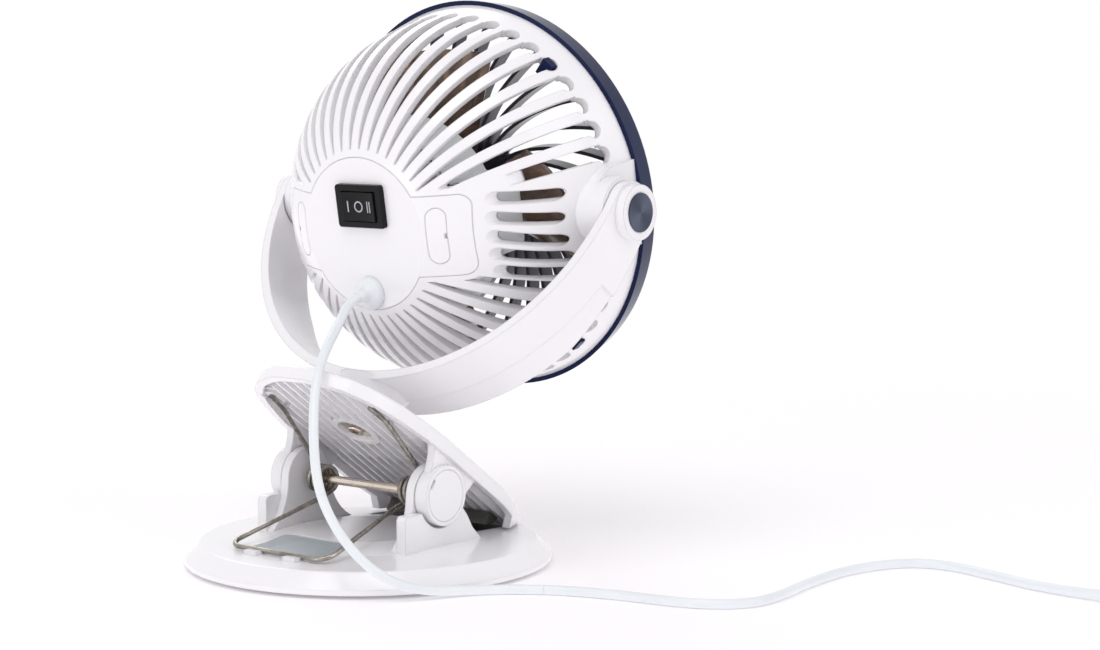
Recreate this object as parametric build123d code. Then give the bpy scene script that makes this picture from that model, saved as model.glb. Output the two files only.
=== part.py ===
from build123d import *
import math
import os

os.makedirs("parts", exist_ok=True)

# ------------------------------------------------------------------ driving dimensions, mm
# Ground, centre and axes: the origin is the centre of the round base on the table, the fan faces
# -Y, +Z is up.

# fits and gaps
fit = 0.06                      # running fit, radial
clear = 0.4                     # gap between faces that move past each other
seat_gap = 0.1                  # gap round a piece let in flush
rest_gap = 0.3                  # gap between the swivelling faces, filled by a disc

# base
base_r = 63.6                   # outer edge of the round foot
base_edge_z = 3.0               # height of the outer edge
base_low_z = 1.2                # underside of the edge
base_skirt_r = 58.4             # edge of the raised plateau
base_skirt_z = 8.1
base_cone_r = 38.0
base_cone_z = 9.05
base_flat_r = 24.0
base_flat_z = 11.2
base_wall = 2.3
foot_r = 56.0
foot_t = 2.0

# clip hinge
axle_y = 1.0
axle_z = 26.8
axle_r = 1.55
axle_end = 33.9
ear_in = 27.5
ear_out = 31.0
ear_r = 10.5
ear_back = 21.0
ear_front = -25.0
step_out = 34.5                 # outer face of the thicker foot of each ear
step_back = 19.6
step_top_z = 21.8
hub_room = 0.9
cheek_in = ear_out + clear
hub_r = 10.3
hub_x = 36.4
cap_r = 8.8
cap_t = 1.8

# jaw
jaw_x = 26.0
jaw_back = -26.5
jaw_front = -58.0
jaw_floor_z = 6.0
jaw_pad_t = 1.2
jaw_pad_x = 24.0
jaw_line_z = 7.5                # the closed jaw of the lever ends at this height

# lever, drawn in its own plane: s runs up and back along it, t is square to it, zero at the axle
lever_slope = 35.4
lever_top = 17.3
lever_plate = 2.5
lever_rim_low = 11.8
lever_rim = 3.0
lever_back = 54.0
lever_tip = -53.6
swivel_s = 15.4
spigot_r = 5.0
boss_r = 9.0
boss_depth = 4.8                # ring under the plate
bearing = 2.7                   # length of the hole that the yoke's spigot turns in
recess_r = 6.7
rib_t = 1.2
rib_pitch = 4.6
rib_low = 12.4
rib_front = -50.0

# yoke
tilt_over_lever = 88.5          # tilt axis above the top of the lever, square to it
yoke_in = 74.8
yoke_out = 78.2
yoke_back = 10.8
yoke_front = -16.3
yoke_end_r = 10.5
pivot_boss_r = 9.5
pivot_boss_x = 81.5
pivot_cap_r = 6.65
pivot_cap_x = 82.0
pivot_web_x = 79.0

# head
head_pitch = 9.4                # the rear of the head points down by this much
dome_c_r = 3.4
dome_c_y = -9.7
dome_rad = 63.5
dome_join_y = -2.6
rim_r = 69.4
rim_y = -16.2
rim_wall = 2.4
rear_y = 49.4
dome_wall = 4.8
cover_wall = 3.0
cover_r = 26.7
wing_x = 41.7
wing_top = 13.5
wing_low = -14.0
slot_pitch = 8.0
slot_start_r = 29.3
slot_end_r = 67.6
slot_end_y = -5.0
slot_rib = 3.4
slot_bulge = 1.8
side_slot_in = 45.0
side_slot_out = 61.5
side_slot_h = 4.2
pad_half = 15.0
pad_x = 69.0
pad_back = 9.6
head_boss_r = 12.0
head_boss_x = yoke_in - rest_gap
ring_back_r = 71.0
ring_front_r = 69.2
ring_front_y = -25.0
vane_count = 30
vane_t = 1.3
vane_front = -24.2
vane_back = -18.2

# switch and cord
switch_x = -0.7
switch_z = 10.0
bezel_w = 21.0
bezel_h = 15.0
bezel_proud = 2.0
cord_d = 3.2
gland_z = -20.75
gland_r = 5.75
gland_proud = 3.6

# motor and impeller
fan_r = 56.5
fan_hub_r = 15.0
fan_back = 16.4
fan_front = -8.0
blade_count = 4
blade_from = -22.0              # front edge of a blade, degrees above the -X side
blade_to = 28.0                 # rear edge of the same blade
blade_front = -5.0
blade_back = 17.0
shaft_r = 1.0
motor_r = 12.2
motor_front = 20.0
motor_back = 34.0
casing_front = 18.0
casing_r = 36.0
casing_x = 45.5
casing_low = -10.5
casing_high = 17.0
casing_end = 5.5                # depth of its closed ends
motor_room_r = 27.0
casing_t = 1.6

# torsion spring
wire_d = 1.7
coil_r = 4.2
coil_pitch = 2.2
coil_x = 17.6


# ------------------------------------------------------------------ drawing helpers
def unit(v):
    """Vector of length one along v."""
    return v / v.length


def rounded(corners, radii):
    """Face of a closed outline in the plane with each corner rounded by its own radius."""
    points = [Vector(*c) for c in corners]
    count = len(points)
    starts = []
    ends = []
    mids = []
    for i in range(count):
        here = points[i]
        back = unit(points[i - 1] - here)
        ahead = unit(points[(i + 1) % count] - here)
        if radii[i] == 0:
            starts.append(here)
            ends.append(here)
            mids.append(None)
            continue
        half = math.acos(max(-1, min(1, back.dot(ahead)))) / 2
        run = radii[i] / math.tan(half)
        axis = unit(back + ahead)
        starts.append(here + back * run)
        ends.append(here + ahead * run)
        mids.append(here + axis * (radii[i] / math.sin(half) - radii[i]))
    edges = []
    for i in range(count):
        following = (i + 1) % count
        if mids[i] is not None:
            edges.append(ThreePointArc(starts[i], mids[i], ends[i]).edge())
        if (starts[following] - ends[i]).length > 1e-6:
            edges.append(Line(ends[i], starts[following]).edge())
    return make_face(Wire(edges))


def along_x(face, x_from, x_to):
    """Solid of a face drawn in (y, z), between two values of x."""
    plane = Plane(origin=(x_from, 0, 0), x_dir=(0, 1, 0), z_dir=(1, 0, 0))
    return extrude(plane * face, amount=x_to - x_from)


def along_y(face, y_from, y_to):
    """Solid of a face drawn in (x, z), between two values of y."""
    plane = Plane(origin=(0, y_to, 0), x_dir=(1, 0, 0), z_dir=(0, -1, 0))
    return extrude(plane * face, amount=y_to - y_from)


def along_z(face, z_from, z_to):
    """Solid of a face drawn in (x, y), between two values of z."""
    return extrude(Pos(0, 0, z_from) * face, amount=z_to - z_from)


def box(x0, x1, y0, y1, z0, z1):
    """Box between two corners."""
    middle = Pos((x0 + x1) / 2, (y0 + y1) / 2, (z0 + z1) / 2)
    return middle * Box(x1 - x0, y1 - y0, z1 - z0)


def rod_x(r, x0, x1, y=0, z=0):
    """Round bar along X."""
    return along_x(Pos(y, z) * Circle(r), x0, x1)


def rod_y(r, y0, y1, x=0, z=0):
    """Round bar along Y."""
    return along_y(Pos(x, z) * Circle(r), y0, y1)


def rod_z(r, z0, z1, x=0, y=0):
    """Round bar along Z."""
    return along_z(Pos(x, y) * Circle(r), z0, z1)


def both(thing):
    """A piece and its mirror image across the plane x = 0."""
    return [thing, mirror(thing, Plane.YZ)]


def turned(profile):
    """Solid of a closed outline of (radius, y) points turned about Y."""
    return revolve(make_face(Polyline(*profile, close=True)), Axis.Y)


def save(thing, node, frame=None):
    """Place a piece or a list of pieces in the world and write its file."""
    pieces = thing if isinstance(thing, list) else [thing]
    placed = [(frame * p if frame else p) for p in pieces]
    solids = [s for p in placed for s in p.solids()]
    shape = solids[0] if len(solids) == 1 else Compound(children=solids)
    for s in solids:
        if not s.is_valid:
            print("not valid:", node)
    export_step(shape, "parts/" + node + ".step")
    size = shape.bounding_box().size
    print(node, len(solids), "solids", round(sum(s.volume for s in solids), 1), "mm3",
          [round(v, 1) for v in (size.X, size.Y, size.Z)])
    return shape


# ------------------------------------------------------------------ frames
slope = math.radians(lever_slope)
lever_frame = Pos(0, axle_y, axle_z) * Rot(X=lever_slope)
head_t = lever_top + tilt_over_lever
head_y = axle_y + swivel_s * math.cos(slope) - head_t * math.sin(slope)
head_z = axle_z + swivel_s * math.sin(slope) + head_t * math.cos(slope)
yoke_frame = Pos(0, head_y, head_z) * Rot(X=lever_slope)
head_frame = Pos(0, head_y, head_z) * Rot(X=-head_pitch)
print("tilt centre", round(head_y, 3), round(head_z, 3))


def in_lever(y, z):
    """World y and z as the lever's own s and t."""
    dy = y - axle_y
    dz = z - axle_z
    s = dy * math.cos(slope) + dz * math.sin(slope)
    t = dz * math.cos(slope) - dy * math.sin(slope)
    return s, t


# ------------------------------------------------------------------ base
def base_profile(depth):
    """Outline of the foot from the axis to the edge, a depth below its top skin."""
    inner_edge = base_r - (depth and base_wall)
    return [(0, base_low_z), (inner_edge, base_low_z), (inner_edge, base_edge_z - depth / 2),
            (base_skirt_r - depth * 0.4, base_skirt_z - depth), (base_cone_r, base_cone_z - depth),
            (base_flat_r, base_flat_z - depth), (0, base_flat_z - depth)]


def stand(profile):
    """Solid of (radius, z) points turned about Z."""
    return revolve(Plane.XZ * make_face(Polyline(*profile, close=True)), Axis.Z)


skin = stand(base_profile(0))
hollow = stand(base_profile(base_wall))
edge_curves = skin.edges().filter_by(GeomType.CIRCLE).sort_by(SortBy.RADIUS)
skin = fillet(edge_curves[-3:-2], 1.0)
shell = skin - hollow
for ring_r in (54.0, 40.0, 24.0, 8.0):
    ring = rod_z(ring_r + 0.8, foot_t, base_flat_z) - rod_z(ring_r - 0.8, foot_t, base_flat_z)
    shell += ring & skin
for turn in (0, 60, 120):
    web = Rot(Z=turn) * box(-54.0, 54.0, -0.8, 0.8, foot_t, base_flat_z)
    shell += web & skin

# platform under the jaw
under_jaw = box(-jaw_x - 2, jaw_x + 2, jaw_front + 0.5, jaw_back + 2, foot_t + 1.2, base_cone_z)
shell += under_jaw & skin
shell -= box(-jaw_x, jaw_x, jaw_front - 8, jaw_back, jaw_floor_z, base_flat_z + 2)

# hinge ears with flared feet
ear_root_z = base_cone_z - 0.9
ear_side = make_face(Wire([
    Line((ear_front, ear_root_z), (ear_back, ear_root_z)).edge(),
    ThreePointArc((ear_back, ear_root_z), (axle_y + ear_r + 3.0, 15.8),
                  (axle_y + ear_r, axle_z)).edge(),
    ThreePointArc((axle_y + ear_r, axle_z), (axle_y, axle_z + ear_r),
                  (axle_y - ear_r, axle_z)).edge(),
    ThreePointArc((axle_y - ear_r, axle_z), (axle_y - ear_r - 4.6, 14.8),
                  (ear_front, ear_root_z)).edge(),
]))
ear = along_x(ear_side, ear_in, ear_out)
ear -= rod_x(axle_r, ear_in - 1, ear_out + 1, axle_y, axle_z)
for one in both(ear):
    shell += one

# thicker foot of each ear, hollowed round the hub of the lever
step_side = rounded([(step_back, ear_root_z), (step_back, step_top_z), (10.0, step_top_z),
                     (-9.8, step_top_z - 0.6), (-12.3, 18.1), (-15.0, 13.5), (-20.5, ear_root_z)],
                    [0, 1.8, 0, 1.2, 3.0, 8.0, 0])
step = along_x(step_side, ear_out - 0.5, step_out)
step -= rod_x(hub_r + hub_room, ear_out, step_out + 1, axle_y, axle_z)
for one in both(step):
    shell += one

# pocket for the label, let into the sloping top
label_y = 32.0
label_w = 31.0
label_h = 17.0
label_x = 2.0
label_sink = 0.6
label_t = 0.3
cone_angle = math.degrees(math.atan((base_flat_z - base_cone_z) / (base_cone_r - base_flat_r)))
label_z = base_flat_z - (label_y - base_flat_r) * math.tan(math.radians(cone_angle))
label_frame = Pos(label_x, label_y, label_z) * Rot(X=-cone_angle)
label_pocket = along_z(RectangleRounded(label_w + 2 * clear, label_h + 2 * clear, 1.9),
                       -label_sink - label_t, 3.0)
shell -= label_frame * label_pocket
rating_label = label_frame * along_z(RectangleRounded(label_w, label_h, 1.5),
                                     -label_sink - label_t, -label_sink)

# saddles that the rear of the spring lies in
spring_back = 45.6
spring_low_z = 9.9
spring_bow_x = 23.0
saddle_x = 9.0
for one in both(box(saddle_x - 3, saddle_x + 3, spring_back - 3.4, spring_back + 3.4,
                    base_cone_z - 3.4, spring_low_z)):
    shell += one
shell -= rod_x(wire_d / 2, -saddle_x - 4, saddle_x + 4, spring_back, spring_low_z)

foot_pad = rod_z(foot_r, 0, foot_t)
lower_jaw_pad = box(-jaw_pad_x, jaw_pad_x, -54.0, -28.5, jaw_floor_z, jaw_floor_z + jaw_pad_t)
axle = rod_x(axle_r, -axle_end, axle_end, axle_y, axle_z)
axle_clip = rod_x(4.0, axle_end - 0.7, axle_end - 0.2, axle_y, axle_z)
axle_clip -= rod_x(axle_r, axle_end - 1, axle_end, axle_y, axle_z)
save(shell, "base_shell")
save(foot_pad, "foot_pad")
save(rating_label, "rating_label")
save(lower_jaw_pad, "lower_jaw_pad")
save(axle, "axle")
save(both(axle_clip), "axle_clips")


# ------------------------------------------------------------------ smooth tubes
def biarc(p0, t0, p1, t1):
    """Two arcs that leave p0 along t0 and meet p1 along t1."""
    v = p1 - p0
    t = t0 + t1
    k = 2 * (1 - t0.dot(t1))
    d = (math.sqrt(v.dot(t) ** 2 + k * v.dot(v)) - v.dot(t)) / k
    q0 = p0 + t0 * d
    q1 = p1 - t1 * d
    joint = (q0 + q1) / 2
    along = unit(q1 - q0)
    return [TangentArc(p0, joint, tangent=t0).edge(), TangentArc(joint, p1, tangent=along).edge()]


def tube(edges, diameter, node=None):
    """Round tube on a chain of edges that meet tangentially."""
    path = Wire(edges)
    start = edges[0] @ 0
    heading = edges[0] % 0
    body = sweep(Plane(origin=start, z_dir=heading) * Circle(diameter / 2), path=path)
    if node:
        length = sum(e.length for e in edges)
        share = body.volume / (math.pi * diameter ** 2 / 4 * length)
        print(node, "length", round(length, 1), "volume / section x length", round(share, 4))
    return body


def round_route(points, radius_name, widest=1e9):
    """Straight runs and tangent arcs through the points, printed with its least radius."""
    pts = [Vector(*p) for p in points]
    edges = []
    here = pts[0]
    least = 1e9
    for i in range(1, len(pts) - 1):
        into = unit(pts[i] - pts[i - 1])
        out = unit(pts[i + 1] - pts[i])
        shorter = min((pts[i] - pts[i - 1]).length, (pts[i + 1] - pts[i]).length)
        turn = math.acos(max(-1, min(1, into.dot(out))))
        cut = min(0.45 * shorter, widest * math.tan(turn / 2))
        least = min(least, cut / math.tan(turn / 2))
        start = pts[i] - into * cut
        end = pts[i] + out * cut
        edges.append(Line(here, start).edge())
        edges.append(TangentArc(start, end, tangent=into).edge())
        here = end
    edges.append(Line(here, pts[-1]).edge())
    print(radius_name, "least bend radius", round(least, 1))
    return edges


# ------------------------------------------------------------------ torsion spring
coil_turns = 1191.4 / 360
coil_steps = 14
low_angle = math.radians(-107.3)
sweep_angle = math.radians(-1191.4)
helix_rise = coil_pitch / (2 * math.pi)


def coil_point(side, k):
    """Point and heading on the coil of one side after k steps from its lower leg."""
    a = low_angle + sweep_angle * k / coil_steps
    turned_by = abs(sweep_angle) * k / coil_steps
    x = side * (coil_x + helix_rise * turned_by)
    p = Vector(x, axle_y + coil_r * math.cos(a), axle_z + coil_r * math.sin(a))
    t = unit(Vector(side * helix_rise, coil_r * math.sin(a), -coil_r * math.cos(a)))
    return p, t


def coil_edges(side):
    """Edges of the coil of one side from lower to upper leg."""
    edges = []
    for k in range(coil_steps):
        p0, t0 = coil_point(side, k)
        p1, t1 = coil_point(side, k + 1)
        edges += biarc(p0, t0, p1, t1)
    return edges


def flip(edges):
    """The same chain run the other way."""
    out = []
    for e in reversed(edges):
        a = e @ 1
        b = e @ 0
        if e.geom_type == GeomType.LINE:
            out.append(Line(a, b).edge())
        else:
            out.append(ThreePointArc(a, e @ 0.5, b).edge())
    return out


def upper_leg(side):
    """Edges from the coil to the free end under the lever."""
    p, t = coil_point(side, coil_steps)
    pts = [p, p + t * 6.0, Vector(side * 24.0, 17.1, 52.9), Vector(side * 23.0, 24.3, 58.3)]
    return round_route([tuple(q) for q in pts], "spring upper leg")


p_right, t_right = coil_point(1, 0)
p_left, t_left = coil_point(-1, 0)
bow_points = [p_left, p_left - t_left * 6.0, Vector(-spring_bow_x, spring_back, spring_low_z),
              Vector(spring_bow_x, spring_back, spring_low_z), p_right - t_right * 6.0, p_right]
bow = round_route([tuple(q) for q in bow_points], "spring bow", 5.0)
spring_edges = flip(upper_leg(-1)) + flip(coil_edges(-1)) + bow + coil_edges(1) + upper_leg(1)
torsion_spring = tube(spring_edges, wire_d, "torsion_spring")
print("spring gap between turns", round(coil_pitch - wire_d, 2))
save(torsion_spring, "torsion_spring")


# ------------------------------------------------------------------ lever
half_outline = [(9.0, lever_back, 26.0), (20.6, 48.0, 12.0), (27.2, 41.4, 20.0), (31.2, 33.0, 28.0),
                (35.0, 18.5, 50.0), (36.0, 7.5, 80.0), (36.0, -30.0, 28.0),
                (34.0, -38.5, 28.0), (28.0, -50.5, 6.0), (24.5, lever_tip, 2.5)]


def lever_outline(inset):
    """Outline of the lever seen square to its plate, moved evenly inwards."""
    ring = half_outline + [(-x, s, r) for x, s, r in reversed(half_outline)]
    corners = []
    radii = []
    for i, (x, s, r) in enumerate(ring):
        here = Vector(x, s)
        before = unit(here - Vector(*ring[i - 1][:2]))
        after = unit(Vector(*ring[(i + 1) % len(ring)][:2]) - here)
        inward_one = Vector(before.Y, -before.X)
        inward_two = Vector(after.Y, -after.X)
        shift = inset / (1 + inward_one.dot(inward_two))
        moved = here + (inward_one + inward_two) * shift
        corners.append((moved.X, moved.Y))
        radii.append(max(r - inset, 0.4))
    return rounded(corners, radii)


blank = along_z(lever_outline(0), lever_rim_low, lever_top)
top_edges = blank.faces().sort_by(Axis.Z)[-1].edges()
blank = fillet(top_edges, 1.8)
pan = along_z(lever_outline(lever_rim), lever_rim_low - 1, lever_top - lever_plate)
lever = blank - pan
inside = along_z(lever_outline(lever_rim / 2), 0, lever_top - 0.5)
rib_count = 6
for k in range(rib_count):
    x = (k + 0.5) * rib_pitch
    reach = 50.0 if x < 14 else (45.0 if x < 19 else 29.0)
    for one in both(box(x - rib_t / 2, x + rib_t / 2, rib_front, reach, rib_low, lever_top - 1)):
        lever += one & inside
for s in (-6.0, 27.0, 40.0):
    lever += box(-30, 30, s - rib_t / 2, s + rib_t / 2, rib_low + 1.2, lever_top - 1) & inside

# seats for the ends of the spring
leg_end_s, leg_end_t = in_lever(24.3, 58.3)
leg_seat_t = leg_end_t + wire_d / 2
for one in both(box(21.2, 26.4, leg_end_s - 11, leg_end_s + 1.2, lever_rim_low - 2, leg_seat_t)):
    lever -= one
for one in both(box(21.2, 26.4, leg_end_s - 6, leg_end_s + 1.2, leg_seat_t, lever_top - 1)):
    lever += one & inside

# swivel boss
boss_low = lever_top - boss_depth
seat_low = lever_top - bearing
lever += rod_z(boss_r, boss_low, lever_top - 1, 0, swivel_s)
lever -= rod_z(recess_r, boss_low - 1, seat_low, 0, swivel_s)
lever -= rod_z(spigot_r + fit, boss_low - 1, lever_top + 1, 0, swivel_s)

# cheeks at the hinge
cheek_r = hub_r - 0.5
cheek_side = make_face(Wire([
    Line((-hub_r - 3.6, lever_top - 2), (hub_r + 6.5, lever_top - 2)).edge(),
    ThreePointArc((hub_r + 6.5, lever_top - 2), (hub_r + 0.4, 8.0), (cheek_r, 0)).edge(),
    ThreePointArc((cheek_r, 0), (0, -cheek_r), (-cheek_r, 0)).edge(),
    ThreePointArc((-cheek_r, 0), (-hub_r - 0.8, 7.0), (-hub_r - 3.6, lever_top - 2)).edge(),
]))
cheek = along_x(cheek_side, cheek_in, 34.5)
cheek += rod_x(hub_r, cheek_in, hub_x)
cheek -= rod_x(cap_r + seat_gap / 2, hub_x - cap_t, hub_x + 1)
cheek -= rod_x(6.0, cheek_in + 1.6, hub_x)
cheek -= rod_x(axle_r + fit, cheek_in - 1, hub_x)
for one in both(cheek):
    lever += one

# closed jaw: side walls and a front wall down to the jaw line
jaw_blank = along_z(lever_outline(0), 0, lever_top - 1.5)
jaw_core = box(-24.3, 24.3, -50.6, -30.0, -1, lever_top - lever_plate)
jaw_zone = box(-40, 40, -60, -37.0, -1, lever_top)
walls = (jaw_blank & jaw_zone) - jaw_core
pan_jaw = along_z(lever_outline(lever_rim), -1, lever_top - lever_plate)
walls -= pan_jaw & box(-40, 40, -50.6, -20, -1, lever_top)
to_lever = Rot(X=-lever_slope) * Pos(0, -axle_y, -axle_z)
walls -= to_lever * box(-50, 50, -37.5, 0, -20, 60)
lever += walls
for one in both(box(25.6, 50, -90, -10, -20, jaw_line_z + 1.8)):
    lever -= to_lever * one
below_jaw = to_lever * box(-50, 50, -90, -10, -20, jaw_line_z)
lever -= below_jaw
upper_pad_side = make_face(Polyline((-25.2, rib_low), (-23.9, 8.65), (-33.8, 3.3),
                                    (-43.0, 9.6), (-44.6, rib_low), close=True))
upper_jaw_pad = along_x(upper_pad_side, -jaw_pad_x + 0.2, jaw_pad_x - 0.2)
lever -= along_x(upper_pad_side, -24.3, 24.3)

hub_cap = rod_x(cap_r, hub_x - cap_t, hub_x)
hub_cap -= box(hub_x - 0.9, hub_x + 1, cap_r - 1.2, cap_r + 1, -1.6, 1.6)
swivel_washer = rod_z(6.1, seat_low - 0.6, seat_low, 0, swivel_s)
swivel_washer -= rod_z(1.4, seat_low - 1, seat_low + 1, 0, swivel_s)
swivel_screw = rod_z(3.0, seat_low - 2.4, seat_low - 0.6, 0, swivel_s)
swivel_screw = fillet(swivel_screw.edges().sort_by(Axis.Z)[0], 0.7)
swivel_screw += rod_z(1.4, seat_low - 1, lever_top + 8.0, 0, swivel_s)
cross = box(-1.6, 1.6, -0.3, 0.3, seat_low - 2.5, seat_low - 1.5)
swivel_screw -= Pos(0, swivel_s, 0) * (cross + Rot(Z=90) * cross)
save(lever, "lever", lever_frame)
save(both(hub_cap), "hub_caps", lever_frame)
save(upper_jaw_pad, "upper_jaw_pad", lever_frame)
save(swivel_screw, "swivel_screw", lever_frame)
save(swivel_washer, "swivel_washer", lever_frame)


# ------------------------------------------------------------------ yoke
foot_t_low = -(tilt_over_lever - rest_gap)
side_face = make_face(Wire([
    ThreePointArc((yoke_end_r, 0), (0, yoke_end_r), (-yoke_end_r, 0)).edge(),
    Line((-yoke_end_r, 0), (-yoke_end_r, -6)).edge(),
    ThreePointArc((-yoke_end_r, -6), (-12.8, -26), (yoke_front, -46)).edge(),
    Line((yoke_front, -46), (yoke_front, -90)).edge(),
    Line((yoke_front, -90), (yoke_back, -90)).edge(),
    Line((yoke_back, -90), (yoke_back, -12)).edge(),
    Line((yoke_back, -12), (yoke_end_r, 0)).edge(),
]))
side_prism = along_x(side_face, -90, 90)
hoop = rod_y(yoke_out, -30, 30) - rod_y(yoke_in, -31, 31)
arm_tops = [box(yoke_in, yoke_out, -12, 12, -1, 12), box(-yoke_out, -yoke_in, -12, 12, -1, 12)]
lower_half = box(-90, 90, -40, 40, -90, 0)
yoke = (hoop & lower_half) + arm_tops[0] + arm_tops[1]
yoke = yoke & side_prism
step_cut = rod_y(yoke_out + 2, yoke_front - 2, -5.0) - rod_y(yoke_out - 0.9, yoke_front - 3, -4)
step_cut -= box(-90, 90, -30, 30, -26, 20)
yoke -= step_cut
neck = stand([(0, foot_t_low), (12.2, foot_t_low), (12.2, foot_t_low + 1.6), (10.4, -83.0),
              (11.2, -80.0), (13.5, -76.0), (0, -76.0)])
yoke += neck - rod_y(yoke_in, -40, 40)
yoke += rod_z(spigot_r, -tilt_over_lever - bearing + 0.1, foot_t_low + 1)
yoke -= rod_z(1.4, -tilt_over_lever - bearing - 1, -tilt_over_lever + 8.0)
for side in (1, -1):
    lo = min(side * (yoke_in + 0.5), side * pivot_boss_x)
    hi = max(side * (yoke_in + 0.5), side * pivot_boss_x)
    yoke += rod_x(pivot_boss_r, lo, hi)
    yoke -= rod_x(head_boss_r + 0.8, min(side * 60, side * yoke_in), max(side * 60, side * yoke_in))
    yoke -= rod_x(spigot_r + fit, min(side * 70, side * 90), max(side * 70, side * 90))
    yoke -= rod_x(pivot_cap_r + seat_gap / 2, min(side * pivot_web_x, side * 90),
                  max(side * pivot_web_x, side * 90))
pivot_cap = rod_x(pivot_cap_r, pivot_cap_x - 1.0, pivot_cap_x)
swivel_disc = rod_z(9.5, -tilt_over_lever, foot_t_low) - rod_z(5.4, -95, -80)
pivot_disc = rod_x(10.0, head_boss_x, yoke_in) - rod_x(5.4, 70, 80)
save(yoke, "yoke", yoke_frame)
save(both(pivot_cap), "pivot_caps", yoke_frame)
save(swivel_disc, "swivel_disc", yoke_frame)


# ------------------------------------------------------------------ head shell
def dome(depth, flat=None):
    """Solid under the rear dome, a depth below its skin."""
    radius = dome_rad - depth
    level = rear_y - depth if flat is None else flat
    join = math.asin((dome_join_y - dome_c_y) / dome_rad)
    crown = math.asin((level - dome_c_y) / radius)

    def at(a):
        return dome_c_r + radius * math.cos(a), dome_c_y + radius * math.sin(a)

    if depth > rim_wall:
        inner_r = rim_r - rim_wall
        skirt = [(0, rim_y), (inner_r, rim_y), (inner_r, rim_y + 3.0), (inner_r - 2.6, -7.0), at(join)]
    else:
        skirt = [(0, rim_y), (rim_r - depth, rim_y), at(join)]
    edges = [Line(skirt[i], skirt[i + 1]).edge() for i in range(len(skirt) - 1)]
    edges.append(ThreePointArc(at(join), at((join + crown) / 2), at(crown)).edge())
    edges.append(Line(at(crown), (0, level)).edge())
    edges.append(Line((0, level), (0, rim_y)).edge())
    return revolve(make_face(Wire(edges)), Axis.Y)


def cover_outline(grow):
    """Outline of the rear cover: a disc with a wing to each side."""
    high = wing_top + grow
    low = wing_low - grow
    wing = rounded([(-wing_x - grow, low), (wing_x + grow, low), (wing_x + grow, high),
                    (-wing_x - grow, high)], [4.5 + grow] * 4)
    disc = Circle(cover_r + grow)
    return wing + disc


outer = dome(0)
inner = dome(dome_wall)
under_cover = dome(cover_wall)
cover_prism = along_y(cover_outline(0), 20, 60)
cover_room = along_y(cover_outline(seat_gap), 20, 60)
housing = outer - inner
pad_side = make_face(Wire([
    Line((rim_y, -pad_half), (pad_back - pad_half, -pad_half)).edge(),
    ThreePointArc((pad_back - pad_half, -pad_half), (pad_back, 0),
                  (pad_back - pad_half, pad_half)).edge(),
    Line((pad_back - pad_half, pad_half), (rim_y, pad_half)).edge(),
    Line((rim_y, pad_half), (rim_y, -pad_half)).edge(),
]))
for one in both(along_x(pad_side, 50, pad_x) - inner):
    housing += one
for one in both(rod_x(head_boss_r, 60, head_boss_x) - inner):
    housing += one
for one in both(rod_x(spigot_r, 66, pivot_web_x - 0.2)):
    housing += one
for one in both(rod_x(1.6, 67.9, pivot_web_x)):
    housing -= one
housing -= (outer - under_cover) & cover_room
housing -= rod_y(22.0, 30, 60)
housing -= rod_y(6.2, 30, 60, 0, gland_z)


def slot_cutter(angle):
    """Cutter of one long slot, wedge shaped so that the ribs keep one width."""
    def at(r, off, bend=0.0):
        a = math.radians(angle + bend)
        across = Vector(math.sin(a), math.cos(a))
        along = Vector(-math.cos(a), math.sin(a))
        return along * r + across * off

    def half(r):
        return (math.radians(slot_pitch) * r - slot_rib) / 2

    far = slot_end_r + 7
    mid = (slot_start_r + slot_end_r) / 2
    shift = slot_bulge
    tip = [at(slot_start_r, half(slot_start_r)), at(slot_start_r, -half(slot_start_r))]
    end = [at(far, half(slot_end_r)), at(far, -half(slot_end_r))]
    middle = [at(mid, half(mid) + shift), at(mid, -half(mid) + shift)]
    face = make_face(Wire([
        ThreePointArc(tip[0], middle[0], end[0]).edge(),
        Line(end[0], end[1]).edge(),
        ThreePointArc(end[1], middle[1], tip[1]).edge(),
        Line(tip[1], tip[0]).edge(),
    ]))
    wedge = along_y(face, slot_end_y, 60)
    a = math.radians(angle)
    start = Vector(-math.cos(a) * 58, slot_end_y, math.sin(a) * 58)
    plane = Plane(origin=start, z_dir=(-math.cos(a), 0, math.sin(a)))
    return wedge + extrude(plane * Circle(half(slot_end_r)), amount=20)


keep_cover = along_y(cover_outline(2.0), 20, 60)
panel_clear_z = wing_top + 1.0
upper_from = 14.0
lower_from = 20.0
for k in range(45):
    angle = k * slot_pitch
    off_level = min(angle % 180, 180 - angle % 180)
    if off_level < (upper_from if angle < 180 else lower_from):
        continue
    first_r = max(slot_start_r, panel_clear_z / math.sin(math.radians(off_level)))
    cutter = slot_cutter(angle) - keep_cover
    if first_r > slot_start_r:
        cutter -= rod_y(first_r, -30, 70)
    housing -= cutter

# short slots at each side, each falling a little outwards
side_slot_low = -13.3
side_slot_gap = 6.15
side_slot_falls = (6.0, 6.0, 6.2, 4.4, 2.4)
for n, fall in enumerate(side_slot_falls):
    inner_z = side_slot_low + n * side_slot_gap
    run_x = side_slot_out - side_slot_in
    long_hole = SlotOverall(math.hypot(run_x, fall), side_slot_h)
    lean = -math.degrees(math.atan(fall / run_x))
    placed_hole = Pos(side_slot_in + run_x / 2, inner_z - fall / 2) * Rot(Z=lean) * long_hole
    for one in both(along_y(placed_hole, 8, 60)):
        housing -= one

# bosses under the ledge that take the cover screws
screw_x = 31.0
plug_t = 1.0
screw_lean = math.degrees(math.asin((screw_x - dome_c_r) / dome_rad))
screw_frame = Pos(dome_c_r, dome_c_y, 0) * Rot(Z=-screw_lean)
screw_low = dome_rad - 9.0
for one in both(screw_frame * rod_y(3.2, screw_low, dome_rad - dome_wall + 0.3)):
    housing += one
for one in both(screw_frame * rod_y(1.1, screw_low - 1, dome_rad)):
    housing -= one

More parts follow.
